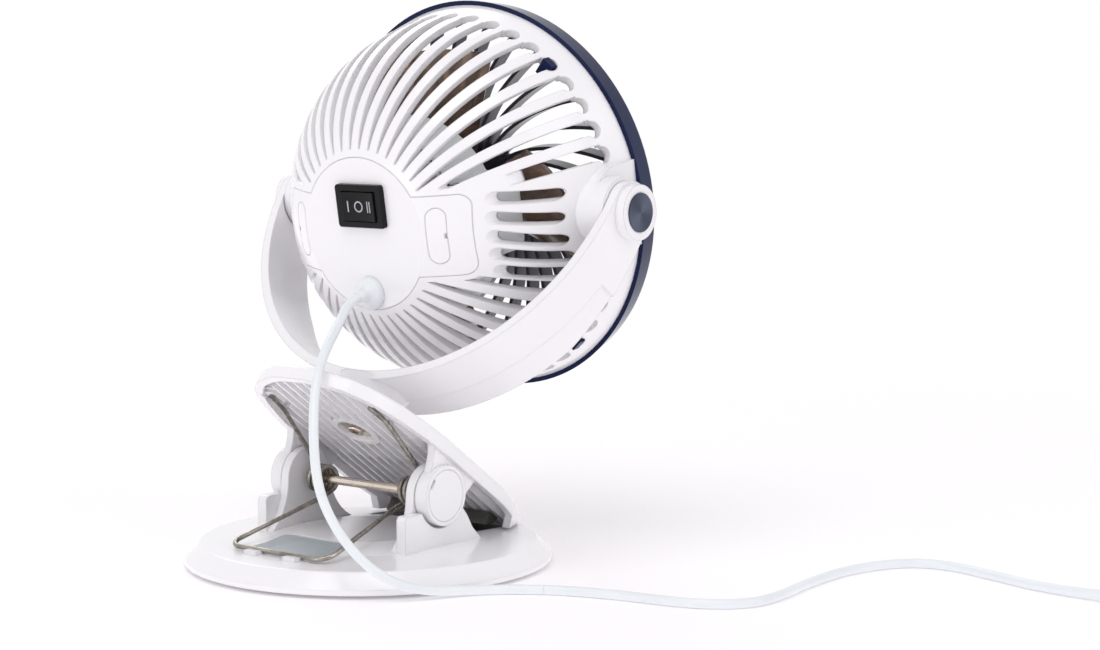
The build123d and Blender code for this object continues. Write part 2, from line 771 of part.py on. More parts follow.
rear_cover = (outer - under_cover) & cover_prism
plug_shape = Pos(screw_x, 0) * SlotOverall(19.0, 6.5, rotation=90)
plug_hole = Pos(screw_x, 0) * SlotOverall(19.0 + 2 * seat_gap, 6.5 + 2 * seat_gap, rotation=90)
under_plug = dome(plug_t)
screw_seat = dome_rad - cover_wall + 0.8
for one in both(along_y(plug_hole, 30, 60) & (outer - under_plug)):
    rear_cover -= one
screw_hole = rod_y(2.9, screw_seat, dome_rad + 2) + rod_y(1.4, 50, dome_rad + 2)
for one in both(screw_frame * screw_hole):
    rear_cover -= one
rear_cover -= rod_y(4.0, 40, 60, 0, gland_z)
rear_cover -= box(switch_x - 9.6, switch_x + 9.6, 40, 60, switch_z - 6.6, switch_z + 6.6)
screw_plug = along_y(plug_shape, 30, 60) & (outer - under_plug)
screw_plug -= box(screw_x + 2.4, screw_x + 4, 30, 60, -0.8, 0.8)
cover_screw = rod_y(2.6, screw_seat, screw_seat + 1.1)
cover_screw += rod_y(1.1, screw_low + 0.5, screw_seat + 0.2)
cover_screw = screw_frame * cover_screw
save(housing, "rear_housing", head_frame)
save(rear_cover, "rear_cover", head_frame)
save(both(screw_plug), "screw_plugs", head_frame)
save(both(cover_screw), "cover_screws", head_frame)

# ------------------------------------------------------------------ front ring and grille
ledge_y = -18.0
grille_seat_r = 65.05
front_ring = turned([(grille_seat_r, ring_front_y), (ring_front_r, ring_front_y),
                     (ring_back_r, rim_y), (66.7, rim_y), (66.7, rim_y + 2.6), (64.9, rim_y + 2.6),
                     (64.9, rim_y), (61.8, rim_y), (61.8, ledge_y), (grille_seat_r, ledge_y)])
hook_w = 4.6
for angle in (48, 128, -48, -128):
    finger = box(61.8, 63.8, -16.8, -3.5, -hook_w / 2, hook_w / 2)
    finger += box(63.0, 67.9, -6.6, -3.5, -hook_w / 2, hook_w / 2)
    front_ring += Rot(Y=180 + angle) * finger


def vane(phase):
    """One curved vane of the grille, on an even spiral."""
    def at(r, off):
        a = math.radians(phase - 32.7 * math.log(r / 57.1))
        lean = math.atan(math.radians(32.7))
        out = Vector(-math.cos(a), math.sin(a))
        across = Vector(math.sin(a), math.cos(a))
        side = across * math.cos(lean) + out * math.sin(lean)
        return out * r + side * off

    radii = [13.0, 24.0, 38.0, 52.0, 63.2]
    left = [at(r, vane_t / 2) for r in radii]
    right = [at(r, -vane_t / 2) for r in reversed(radii)]
    return make_face(Wire([
        Spline(*left).edge(),
        Line(left[-1], right[0]).edge(),
        Spline(*right).edge(),
        Line(right[-1], left[0]).edge(),
    ]))


grille_hub_r = 15.5
hoop_in = 62.3
front_grille = turned([(hoop_in, ring_front_y + 0.4), (65.0, ring_front_y + 0.4), (65.0, ledge_y),
                       (hoop_in, ledge_y)])
front_grille += rod_y(grille_hub_r, ring_front_y + 0.2, vane_back)
first_vane = along_y(vane(38.0), vane_front, vane_back)
for k in range(vane_count):
    front_grille += Rot(Y=k * 360 / vane_count) * first_vane
front_grille -= rod_y(12.6, ring_front_y - 1, ring_front_y + 1.6)
grille_hub_cap = rod_y(12.5, ring_front_y - 1.0, ring_front_y + 1.6)
grille_hub_cap = fillet(grille_hub_cap.edges().sort_by(Axis.Y)[0], 0.9)
save(front_ring, "front_ring", head_frame)
save(front_grille, "front_grille", head_frame)
save(grille_hub_cap, "grille_hub_cap", head_frame)

# ------------------------------------------------------------------ pivots of the head
pivot_washer = rod_x(6.2, pivot_web_x, pivot_web_x + 0.6) - rod_x(1.6, 70, 90)
pivot_screw = rod_x(4.0, pivot_web_x + 0.6, pivot_cap_x - 1.3)
pivot_screw += rod_x(1.6, 68.0, pivot_web_x + 1)
save(both(pivot_washer), "pivot_washers", head_frame)
save(both(pivot_disc), "pivot_discs", head_frame)
save(both(pivot_screw), "pivot_screws", head_frame)

# ------------------------------------------------------------------ switch
rocker_y = rear_y
body_back = 40.2
cavity_x = 7.8
cavity_z = 5.3
bezel = along_y(Pos(switch_x, switch_z) * RectangleRounded(bezel_w, bezel_h, 1.2),
                rear_y, rear_y + bezel_proud)
bezel = fillet(bezel.edges().group_by(Axis.Y)[-1], 0.5)
switch_body = bezel + box(switch_x - 9.5, switch_x + 9.5, body_back, rear_y + 0.5,
                          switch_z - 6.5, switch_z + 6.5)
switch_body -= box(switch_x - cavity_x, switch_x + cavity_x, 45.8, 60,
                   switch_z - cavity_z, switch_z + cavity_z)
switch_body -= Pos(switch_x, rocker_y, 0) * rod_z(1.0 + fit, switch_z - 6.1, switch_z + 6.1)
rocker_half = 7.3
rocker_side = make_face(Wire([
    ThreePointArc((-rocker_half, 2.6), (0, 2.1), (rocker_half, 2.6)).edge(),
    Line((rocker_half, 2.6), (rocker_half, -0.3)).edge(),
    Line((rocker_half, -0.3), (2.0, -2.4)).edge(),
    Line((2.0, -2.4), (-2.0, -2.4)).edge(),
    Line((-2.0, -2.4), (-rocker_half, -0.3)).edge(),
    Line((-rocker_half, -0.3), (-rocker_half, 2.6)).edge(),
]))
rocker_frame = Pos(switch_x, rocker_y, switch_z)
rocker = along_z(rocker_side, -5.0, 5.0)
rocker += rod_z(1.0, -6.0, 6.0)
mark_h = 3.9
mark_w = 0.5
mark_shapes = [Pos(4.7, 0) * Rectangle(mark_w, mark_h),
               Circle(1.95) - Circle(1.45),
               Pos(-4.2, 0) * Rectangle(mark_w, mark_h),
               Pos(-5.3, 0) * Rectangle(mark_w, mark_h)]
mark_skin = along_z(make_face(Wire([
    ThreePointArc((-rocker_half, 2.65), (0, 2.15), (rocker_half, 2.65)).edge(),
    Line((rocker_half, 2.65), (rocker_half, 2.45)).edge(),
    ThreePointArc((rocker_half, 2.45), (0, 1.95), (-rocker_half, 2.45)).edge(),
    Line((-rocker_half, 2.45), (-rocker_half, 2.65)).edge(),
])), -5, 5)
marks = [along_y(m, 1.0, 4.0) & mark_skin for m in mark_shapes]
for m in marks:
    rocker -= m
terminals = [box(x - 0.4, x + 0.4, body_back - 4.0, body_back, switch_z - 2.4, switch_z + 2.4)
             for x in (switch_x - 5.5, switch_x, switch_x + 5.5)]
save(switch_body, "switch_body", head_frame)
save(terminals, "switch_terminals", head_frame)
save(rocker, "switch_rocker", head_frame * rocker_frame)
save(marks, "rocker_marks", head_frame * rocker_frame)

# ------------------------------------------------------------------ cord gland
gland_in_y = rear_y - cover_wall - 1.4
strain_relief = rod_y(gland_r, rear_y, rear_y + 1.6, 0, gland_z)
strain_relief += rod_y(gland_r - 0.9, rear_y, rear_y + gland_proud, 0, gland_z)
strain_relief = fillet(strain_relief.edges().sort_by(Axis.Y)[-1], 0.6)
strain_relief += rod_y(4.0, gland_in_y, rear_y + 0.5, 0, gland_z)
strain_relief += rod_y(5.2, gland_in_y, gland_in_y + 1.4, 0, gland_z)
save(strain_relief, "strain_relief", head_frame)

# ------------------------------------------------------------------ casing, motor, wires
def casing_block(inset, y_from):
    """The casing's disc and wings, an inset inside its outline."""
    wide = 2 * (casing_x - inset)
    high = casing_high - casing_low - 2 * inset
    wings = Pos(0, (casing_high + casing_low) / 2) * RectangleRounded(wide, high, 5.0 - inset)
    return rod_y(casing_r - inset, y_from, 50) + along_y(wings, y_from, 50)


casing_room = casing_block(casing_t, casing_front + casing_t + 0.4)
lid = dome(dome_wall + clear) - dome(dome_wall + clear + casing_t)
lid = (lid & casing_block(casing_t / 2, casing_front + 1)) - rod_y(motor_room_r, 10, 60)
lid -= box(-casing_x + casing_end, casing_x - casing_end, 10, 60, casing_low + casing_t, wing_top - 1)
casing = (casing_block(0, casing_front) - casing_room) & inner
casing += lid
casing -= rod_y(3.6, 10, 30)
screw_ring = 8.0
for one in both(rod_y(1.1, 15, motor_front + 2, screw_ring)):
    casing -= one
casing_solid = casing.solids().sort_by(SortBy.VOLUME)[-1]

can = rod_y(motor_r, motor_front, motor_back) - rod_y(motor_r - 1.0, motor_front + 1.0, 60)
can += rod_y(3.5, motor_front - 1.8, motor_front + 0.5)
can -= rod_y(2.2, 10, 30)
for one in both(rod_y(1.1, 15, motor_front + 2, screw_ring)):
    can -= one
end_cap = rod_y(motor_r, motor_back, motor_back + 1.5)
end_cap += rod_y(3.0, motor_back - 1.5, motor_back + 0.5)
end_cap -= rod_y(2.2, motor_back - 4, motor_back + 0.2)
tab_one = box(-1.4, -0.6, motor_back + 1.5, 39.2, -12.2, -10.2)
tab_two = box(switch_x + 5.1, switch_x + 5.9, motor_back + 1.5, 39.2, -3.0, -1.0)
bush_front = rod_y(2.2, motor_front - 1.8, motor_front + 0.8) - rod_y(shaft_r + fit, 10, 40)
bush_back = rod_y(2.2, motor_back - 1.5, motor_back + 0.2) - rod_y(shaft_r + fit, 10, 40)
magnet_ring = rod_y(motor_r - 1.0, 23.0, 31.0) - rod_y(motor_r - 3.0, 20, 35)
magnet_gap = box(-20, 20, 10, 50, -3, 3)
magnets = [s for s in (magnet_ring - magnet_gap).solids()]
mount_screws = both(rod_y(2.0, casing_front - 1.4, casing_front, screw_ring)
                    + rod_y(1.1, casing_front - 0.2, motor_front + 1.0, screw_ring))
armature = rod_y(8.2, 23.5, 30.5) + rod_y(3.2, 22.2, 31.6)
armature -= rod_y(shaft_r, 10, 50)
for turn in (0, 60, 120):
    notch = box(-9, 9, 23, 31, -0.7, 0.7) - rod_y(4.6, 20, 40)
    armature -= Rot(Y=turn) * notch
shaft = rod_y(shaft_r, -5.0, motor_back + 0.1)
save(casing_solid, "motor_casing", head_frame)
save(can, "motor_can", head_frame)
save(end_cap, "motor_end_cap", head_frame)
save([tab_one, tab_two], "motor_tabs", head_frame)
save([bush_front, bush_back], "motor_bushes", head_frame)
save(magnets, "motor_magnets", head_frame)
save(mount_screws, "motor_mount_screws", head_frame)
save(armature, "armature", head_frame)
save(shaft, "motor_shaft", head_frame)

wire_y = 38.2
lead_d = 1.2
lead_one = tube(round_route([(-2.5, gland_in_y, gland_z), (-2.5, wire_y, gland_z),
                             (-4.0, wire_y, gland_z + 10.0),
                             (switch_x - 5.5, wire_y, gland_z + 20.0),
                             (switch_x - 5.5, wire_y, switch_z - 2.4)], "lead one"), lead_d, "lead")
lead_two = tube(round_route([(2.5, gland_in_y, gland_z), (2.5, wire_y, gland_z),
                             (-1.0, wire_y, gland_z + 5.2), (-1.0, wire_y, -12.2)], "lead two"),
                lead_d, "lead")
resistor = rod_z(1.2, 0.5, 5.5, switch_x + 5.5, wire_y)
resistor += rod_z(0.35, -1.0, switch_z - 2.4, switch_x + 5.5, wire_y)
save([lead_one, lead_two], "lead_wires", head_frame)
save(resistor, "speed_resistor", head_frame)

# ------------------------------------------------------------------ impeller
hub_wall = 1.6
impeller = rod_y(fan_hub_r, fan_front, fan_back)
impeller -= rod_y(fan_hub_r - hub_wall, fan_front + hub_wall, 25)
impeller = fillet(impeller.edges().filter_by(GeomType.CIRCLE).sort_by(Axis.Y)[0], 1.4)
impeller += rod_y(3.6, fan_front + 0.5, fan_back - 0.5)
for turn in (0, 60, 120):
    web = box(-fan_hub_r + 1, fan_hub_r - 1, fan_front + 1, 6.0, -0.6, 0.6)
    impeller += Rot(Y=turn) * web


def section(at_r):
    """Straight section of a blade, square to its radius, between its front and rear edges."""
    half_wide = at_r * math.sin(math.radians((blade_to - blade_from) / 2))
    half_deep = (blade_back - blade_front) / 2
    length = 2 * math.hypot(half_wide, half_deep)
    plane = Plane(origin=(-at_r * blade_flat, (blade_back + blade_front) / 2, 0),
                  x_dir=(0, half_deep, half_wide), z_dir=(-1, 0, 0))
    return plane * Rectangle(length, blade_t)


blade_t = 1.3
blade_flat = math.cos(math.radians((blade_to - blade_from) / 4))
blade_radii = (fan_hub_r - 2.0, 36.0, fan_r + 5.0)
blade_room = 1.6                # between the blades and the shell


def on_tip(angle):
    """Point of the tip circle at an angle above the -X side."""
    return (-fan_r * math.cos(math.radians(angle)), fan_r * math.sin(math.radians(angle)))


plan_root = 20.0
plan = make_face(Wire([
    Line((-8.0, -plan_root), on_tip(-24)).edge(),
    ThreePointArc(on_tip(-24), on_tip(0), on_tip(27)).edge(),
    Line(on_tip(27), (-8.0, plan_root)).edge(),
    Line((-8.0, plan_root), (-8.0, -plan_root)).edge(),
]))
front_corner = plan.vertices().sort_by(Axis.X)[0:1]
plan = fillet(front_corner, 6.0)
rear_corner = plan.vertices().sort_by(Axis.Y)[-1:]
plan = fillet(rear_corner, 9.0)
reach = along_y(plan, -20, blade_back) & dome(dome_wall + blade_room)
reach -= rod_y(fan_hub_r - 1.0, -30, 30)
middle = (blade_from + blade_to) / 2
flat_blade = loft([section(r) for r in blade_radii])
one_blade = flat_blade & reach
for k in range(blade_count):
    impeller += Rot(Y=middle + k * 360 / blade_count) * one_blade
impeller -= rod_y(shaft_r, -5.0, 20)
save(impeller, "impeller", head_frame)

# ------------------------------------------------------------------ cord
gland_face = head_frame * Pos(0, rear_y + gland_proud, gland_z)
gland_point = gland_face.position
rear_axis = Vector(0, math.cos(math.radians(head_pitch)), -math.sin(math.radians(head_pitch)))
cord_z = cord_d / 2
coil_lift = 0.9
start_run = gland_point + rear_axis * 8.0
drop = [tuple(gland_point), tuple(start_run), (-4.6, 18.8, 84.9), (-11.2, 33.3, 76.9)]
mid_air = [(-16.9, 43.8, 67.1), (-22.8, 51.0, 54.0)]
low_air = [(-29.0, 56.2, 38.9), (-34.8, 57.0, 28.3), (-41.6, 54.3, 17.7), (-48.7, 47.9, 8.5),
           (-56.4, 37.6, 3.0), (-65.2, 19.7, cord_z)]
on_floor = [(-75.5, 9.7), (-88.6, 2.0), (-106.4, -3.3), (-120.8, -5.3), (-134.0, -8.5),
            (-145.2, -17.3), (-148.0, -30.5), (-144.0, -57.9), (-143.7, -83.9), (-152.6, -105.6),
            (-167.2, -110.7), (-189.7, -103.8), (-209.2, -97.6)]
coil_centre = Vector(-254.0, -119.0, 0)
coil_out = 22.4
coil_step = cord_d + 0.55
layer = cord_d + 0.55
loops_in = 3
way_in = math.radians(90)

route = drop + mid_air + low_air + [(x, y, cord_z) for x, y in on_floor]
entry = coil_centre + Vector(coil_out * math.cos(way_in), coil_out * math.sin(way_in),
                             cord_z + coil_lift)
entry_heading = Vector(-math.sin(way_in), math.cos(way_in), 0)
lead_in = entry - entry_heading * 12.0
route += [tuple(lead_in), tuple(entry)]
all_edges = round_route(route, "cord route")


def split_route(edges, marks_at):
    """Cut the chain at the middle of the given straight runs."""
    groups = []
    now = []
    for i, e in enumerate(edges):
        if i in marks_at:
            middle = (e @ 0 + e @ 1) / 2
            now.append(Line(e @ 0, middle).edge())
            groups.append(now)
            now = [Line(middle, e @ 1).edge()]
        else:
            now.append(e)
    groups.append(now)
    return groups


# straight run n of the route is edge 2 n of the chain
pieces = split_route(all_edges, (2 * 3, 2 * 5, 2 * 12))
names = ["cord_top", "cord_mid", "cord_low", "cord_floor"]
total = 0.0
for name, part_edges in zip(names, pieces):
    body = tube(part_edges, cord_d, name)
    total += sum(e.length for e in part_edges)
    a = part_edges[0] @ 0
    b = part_edges[-1] @ 1
    print(name, [round(v, 1) for v in tuple(a)], [round(v, 1) for v in tuple(b)])
    save(body, name)


def chain(points, headings):
    """Pairs of tangent arcs through points with headings."""
    edges = []
    for i in range(len(points) - 1):
        edges += biarc(points[i], headings[i], points[i + 1], headings[i + 1])
    return edges


per_turn = 4
inner_r = coil_out - loops_in * coil_step
knots = []
low_z = cord_z + coil_lift
high_z = low_z + layer
total_in = loops_in * per_turn
for i in range(total_in + 1):
    u = i / per_turn
    knots.append((way_in + 2 * math.pi * u, coil_out - coil_step * u, low_z))
climb_a = knots[-1][0]
knots.append((climb_a + math.pi / 2, inner_r - 0.2 * coil_step, low_z + layer / 2))
knots.append((climb_a + math.pi, inner_r, high_z))
out_steps = total_in - 1
for i in range(1, out_steps + 1):
    u = i / per_turn
    knots.append((climb_a + math.pi + 2 * math.pi * u, inner_r + coil_step * u, high_z))
way_out = knots[-1][0]
points = [coil_centre + Vector(r * math.cos(a), r * math.sin(a), z) for a, r, z in knots]
headings = []
for i, (a, r, z) in enumerate(knots):
    dr = coil_step / (2 * math.pi)
    if i <= total_in:
        dr = -dr
    if i in (0, total_in + 1, len(knots) - 1):
        dr = 0.0
    dz = layer / math.pi if i == total_in + 1 else 0.0
    headings.append(unit(Vector(-r * math.sin(a) + dr * math.cos(a),
                                r * math.cos(a) + dr * math.sin(a), dz)))
coil_chain = chain(points, headings)
coil_body = tube(coil_chain, cord_d, "cord_coil")
coil_length = sum(e.length for e in coil_chain)
total += coil_length
samples = []
for e in coil_chain:
    for j in range(12):
        samples.append(e @ (j / 12))
run = 0.0
lengths = [0.0]
for i in range(1, len(samples)):
    run += (samples[i] - samples[i - 1]).length
    lengths.append(run)
least = 1e9
for i in range(len(samples)):
    for j in range(i + 1, len(samples)):
        if lengths[j] - lengths[i] > 4 * cord_d:
            least = min(least, (samples[i] - samples[j]).length)
print("coil least gap to itself", round(least - cord_d, 2), "loops", loops_in * 2)
save(coil_body, "cord_coil")

# the end that leaves the coil, and its plug
tail_start = points[-1]
tail_dir = headings[-1]
print("tail heading", [round(v, 3) for v in tuple(tail_dir)])
plug_z = 3.9
tail_points = [tail_start, tail_start + tail_dir * 12.0,
               tail_start + tail_dir * 26.0 + Vector(0, 0, plug_z - high_z + 0.2),
               tail_start + tail_dir * 38.0 + Vector(0, 0, plug_z - high_z)]
tail_edges = round_route([tuple(p) for p in tail_points], "cord tail")
total += sum(e.length for e in tail_edges)
save(tube(tail_edges, cord_d, "cord_tail"), "cord_tail")
print("whole cord length", round(total, 1))
plug_heading = unit(tail_points[-1] - tail_points[-2])
plug_flat = unit(Vector(plug_heading.X, plug_heading.Y, 0))
plug_frame = Plane(origin=tail_points[-1], x_dir=plug_flat, z_dir=(0, 0, 1)).location
grip_w = 15.0
grip_h = 2 * plug_z
grip_l = 24.0
neck_l = 8.0
grip = along_x(RectangleRounded(grip_w, grip_h, 2.4), neck_l, neck_l + grip_l)
grip += rod_x(3.0, 0, neck_l + 0.5)
usb_w = 12.0
usb_h = 4.5
usb_l = 14.0
usb_x = neck_l + grip_l
usb_shell = along_x(RectangleRounded(usb_w, usb_h, 0.5), usb_x - 3.0, usb_x + usb_l)
usb_shell -= box(usb_x - 0.5, usb_x + usb_l + 1, -usb_w / 2 + 0.4, usb_w / 2 - 0.4,
                 -usb_h / 2 + 0.4, usb_h / 2 - 0.4)
for y in (-3.0, 3.0):
    usb_shell -= box(usb_x + 6.0, usb_x + 8.4, y - 1.2, y + 1.2, 0, 4)
    usb_shell -= box(usb_x + 6.0, usb_x + 8.4, y - 1.2, y + 1.2, -4, 0)
grip -= along_x(RectangleRounded(usb_w, usb_h, 0.5), usb_x - 3.0, usb_x + 1)
tongue = box(usb_x - 0.5, usb_x + usb_l - 1.0, -usb_w / 2 + 0.4, usb_w / 2 - 0.4, 0.0, usb_h / 2 - 0.4)
save(grip, "usb_plug_grip", plug_frame)
save(usb_shell, "usb_plug_shell", plug_frame)
save(tongue, "usb_plug_tongue", plug_frame)

# tie round the loops
tie_w = 7.0
tie_t = 0.8
tie_in = inner_r - cord_z - 0.2
tie_out = coil_out + cord_z + 0.2
tie_top = high_z + cord_z + 0.1
tie_shape = rounded([(tie_in - tie_t, 0), (tie_out + tie_t, 0), (tie_out + tie_t, tie_top + tie_t),
                     (tie_in - tie_t, tie_top + tie_t)], [1.6] * 4)
tie_hole = rounded([(tie_in, tie_t), (tie_out, tie_t), (tie_out, tie_top), (tie_in, tie_top)],
                   [0.8] * 4)
tie = along_y(tie_shape - tie_hole, -tie_w / 2, tie_w / 2)
tie_angle = -30.0
save(tie, "cord_tie", Pos(coil_centre.X, coil_centre.Y, 0) * Rot(Z=tie_angle))
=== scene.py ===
"""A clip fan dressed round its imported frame: finishes, cord, fine fittings and a plain studio."""

from __future__ import annotations

import logging
import math
from dataclasses import dataclass, field
from enum import Enum

import bmesh
import bpy
from mathutils import Matrix, Vector

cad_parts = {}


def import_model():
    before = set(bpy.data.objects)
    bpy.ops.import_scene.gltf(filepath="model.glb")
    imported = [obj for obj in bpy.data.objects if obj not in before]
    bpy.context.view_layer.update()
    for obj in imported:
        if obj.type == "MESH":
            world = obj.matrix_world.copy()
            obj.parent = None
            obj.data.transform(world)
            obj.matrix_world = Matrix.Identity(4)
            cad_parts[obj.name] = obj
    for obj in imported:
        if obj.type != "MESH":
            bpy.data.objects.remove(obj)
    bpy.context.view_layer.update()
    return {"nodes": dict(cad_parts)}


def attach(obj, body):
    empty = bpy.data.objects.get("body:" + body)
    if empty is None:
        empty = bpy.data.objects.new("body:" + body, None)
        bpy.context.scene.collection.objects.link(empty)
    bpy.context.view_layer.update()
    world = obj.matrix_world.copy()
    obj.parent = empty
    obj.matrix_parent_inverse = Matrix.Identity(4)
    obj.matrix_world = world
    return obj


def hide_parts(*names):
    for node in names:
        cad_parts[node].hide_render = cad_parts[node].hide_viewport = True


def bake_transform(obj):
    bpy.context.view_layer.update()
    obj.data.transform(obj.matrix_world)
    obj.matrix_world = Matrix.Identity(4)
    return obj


log = logging.getLogger("clip_fan")

MM = 0.001
WELD = 0.000002
HEAD_PIVOT = Vector((0.0, -47.735, 121.961)) * MM
HEAD_TILT = math.radians(-9.4)
LEVER_PIVOT = Vector((0.0, 1.0, 26.8)) * MM
LEVER_SLOPE = math.radians(35.4)


class Body(Enum):
    """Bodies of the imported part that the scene's own pieces ride."""

    BASE = "base"
    LEVER = "lever"
    YOKE = "yoke"
    HEAD = "head"


class Slot(Enum):
    """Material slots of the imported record."""

    WHITE_SHELL = "white_shell"
    NAVY_GLOSS = "navy_gloss"
    CHARCOAL = "charcoal"
    SMOKE_CLEAR = "smoke_clear"
    FROST_CLEAR = "frost_clear"
    BLACK_RUBBER = "black_rubber"
    FOOT_FOAM = "foot_foam"
    BLACK_GLOSS = "black_gloss"
    MARK_PAINT = "mark_paint"
    PLAIN_STEEL = "plain_steel"
    SPRING_STEEL = "spring_steel"
    BLUE_CAP = "blue_cap"
    BRONZE = "bronze"
    FERRITE = "ferrite"
    COPPER = "copper"
    FIBRE = "fibre"
    CORD_SKIN = "cord_skin"
    LABEL_FILM = "label_film"
    LEAD_SKIN = "lead_skin"
    PLUG_METAL = "plug_metal"
    RESISTOR_BODY = "resistor_body"


# ---------------------- shader building
class Tree:
    """Adds and wires nodes in a material's or a group's tree."""

    colour_a = 6
    colour_b = 7
    colour_out = 2

    def __init__(self, graph: bpy.types.NodeTree) -> None:
        """Keep the tree that the nodes go into."""
        self.graph = graph

    def node(self, kind: str, **settings: object) -> bpy.types.Node:
        """Add a node.

        Args:
            kind: Blender's type name of the node.
            **settings: attributes to set on it.

        Returns:
            The new node.
        """
        new = self.graph.nodes.new(kind)
        for name, value in settings.items():
            setattr(new, name, value)
        return new

    def wire(self, source: bpy.types.NodeSocket, target: bpy.types.NodeSocket) -> None:
        """Join an output socket to an input socket."""
        self.graph.links.new(source, target)

    def calc(self, operation: str, a: object, b: object = 0.0,
             clamp: bool = False) -> bpy.types.NodeSocket:
        """Add a Math node.

        Args:
            operation: name of the operation.
            a: first operand, a socket or a number.
            b: second operand, a socket or a number.
            clamp: whether the result is kept within 0 and 1.

        Returns:
            The node's output socket.
        """
        new = self.node("ShaderNodeMath", operation=operation, use_clamp=clamp)
        for index, operand in enumerate((a, b)):
            if isinstance(operand, bpy.types.NodeSocket):
                self.wire(operand, new.inputs[index])
            else:
                new.inputs[index].default_value = operand
        return new.outputs[0]

    def remap(self, value: bpy.types.NodeSocket, low: float, high: float, to_low: float = 0.0,
              to_high: float = 1.0) -> bpy.types.NodeSocket:
        """Map a value from one range to another, clamped.

        Args:
            value: socket that is mapped.
            low: start of the range read.
            high: end of the range read.
            to_low: result at the start.
            to_high: result at the end.

        Returns:
            The mapped value's socket.
        """
        new = self.node("ShaderNodeMapRange")
        self.wire(value, new.inputs["Value"])
        ends = {"From Min": low, "From Max": high, "To Min": to_low, "To Max": to_high}
        for name, number in ends.items():
            new.inputs[name].default_value = number
        return new.outputs["Result"]

    def noise(self, place: bpy.types.NodeSocket, scale: bpy.types.NodeSocket, detail: float,
              roughness: float = 0.5) -> bpy.types.NodeSocket:
        """Add a Noise texture.

        Args:
            place: socket with the coordinates it reads.
            scale: socket with its scale.
            detail: how many finer layers it has.
            roughness: how strong the finer layers are.

        Returns:
            The noise value's socket.
        """
        new = self.node("ShaderNodeTexNoise")
        new.inputs["Detail"].default_value = detail
        new.inputs["Roughness"].default_value = roughness
        self.wire(place, new.inputs["Vector"])
        self.wire(scale, new.inputs["Scale"])
        return new.outputs[0]

    def mapping(self, place: bpy.types.NodeSocket, socket: str, value: object) -> bpy.types.NodeSocket:
        """Move or stretch coordinates.

        Args:
            place: socket with the coordinates.
            socket: Location or Scale.
            value: the vector for it.

        Returns:
            The changed coordinates' socket.
        """
        new = self.node("ShaderNodeMapping")
        new.inputs[socket].default_value = value
        self.wire(place, new.inputs["Vector"])
        return new.outputs[0]

    def tint(self, factor: bpy.types.NodeSocket, first: object, second: tuple) -> bpy.types.NodeSocket:
        """Mix two colours by a mask.

        Args:
            factor: mask socket, 0 for the first colour.
            first: the first colour, a socket or red, green and blue.
            second: red, green and blue of the second colour.

        Returns:
            The colour socket.
        """
        new = self.node("ShaderNodeMix", data_type="RGBA")
        self.wire(factor, new.inputs[0])
        if isinstance(first, bpy.types.NodeSocket):
            self.wire(first, new.inputs[self.colour_a])
        else:
            new.inputs[self.colour_a].default_value = (*first, 1.0)
        new.inputs[self.colour_b].default_value = (*second, 1.0)
        return new.outputs[self.colour_out]


class Effect(Enum):
    """Shared shader groups, each built once."""

    GRAIN = "moulding_grain"
    SCUFF = "handling_scuff"
    DUST = "settled_dust"
    # rings as a bump, with a painted highlight of lobes in the tone
    RINGS = "turned_rings_and_painted_highlight"
    DRAWN = "drawn_streaks"


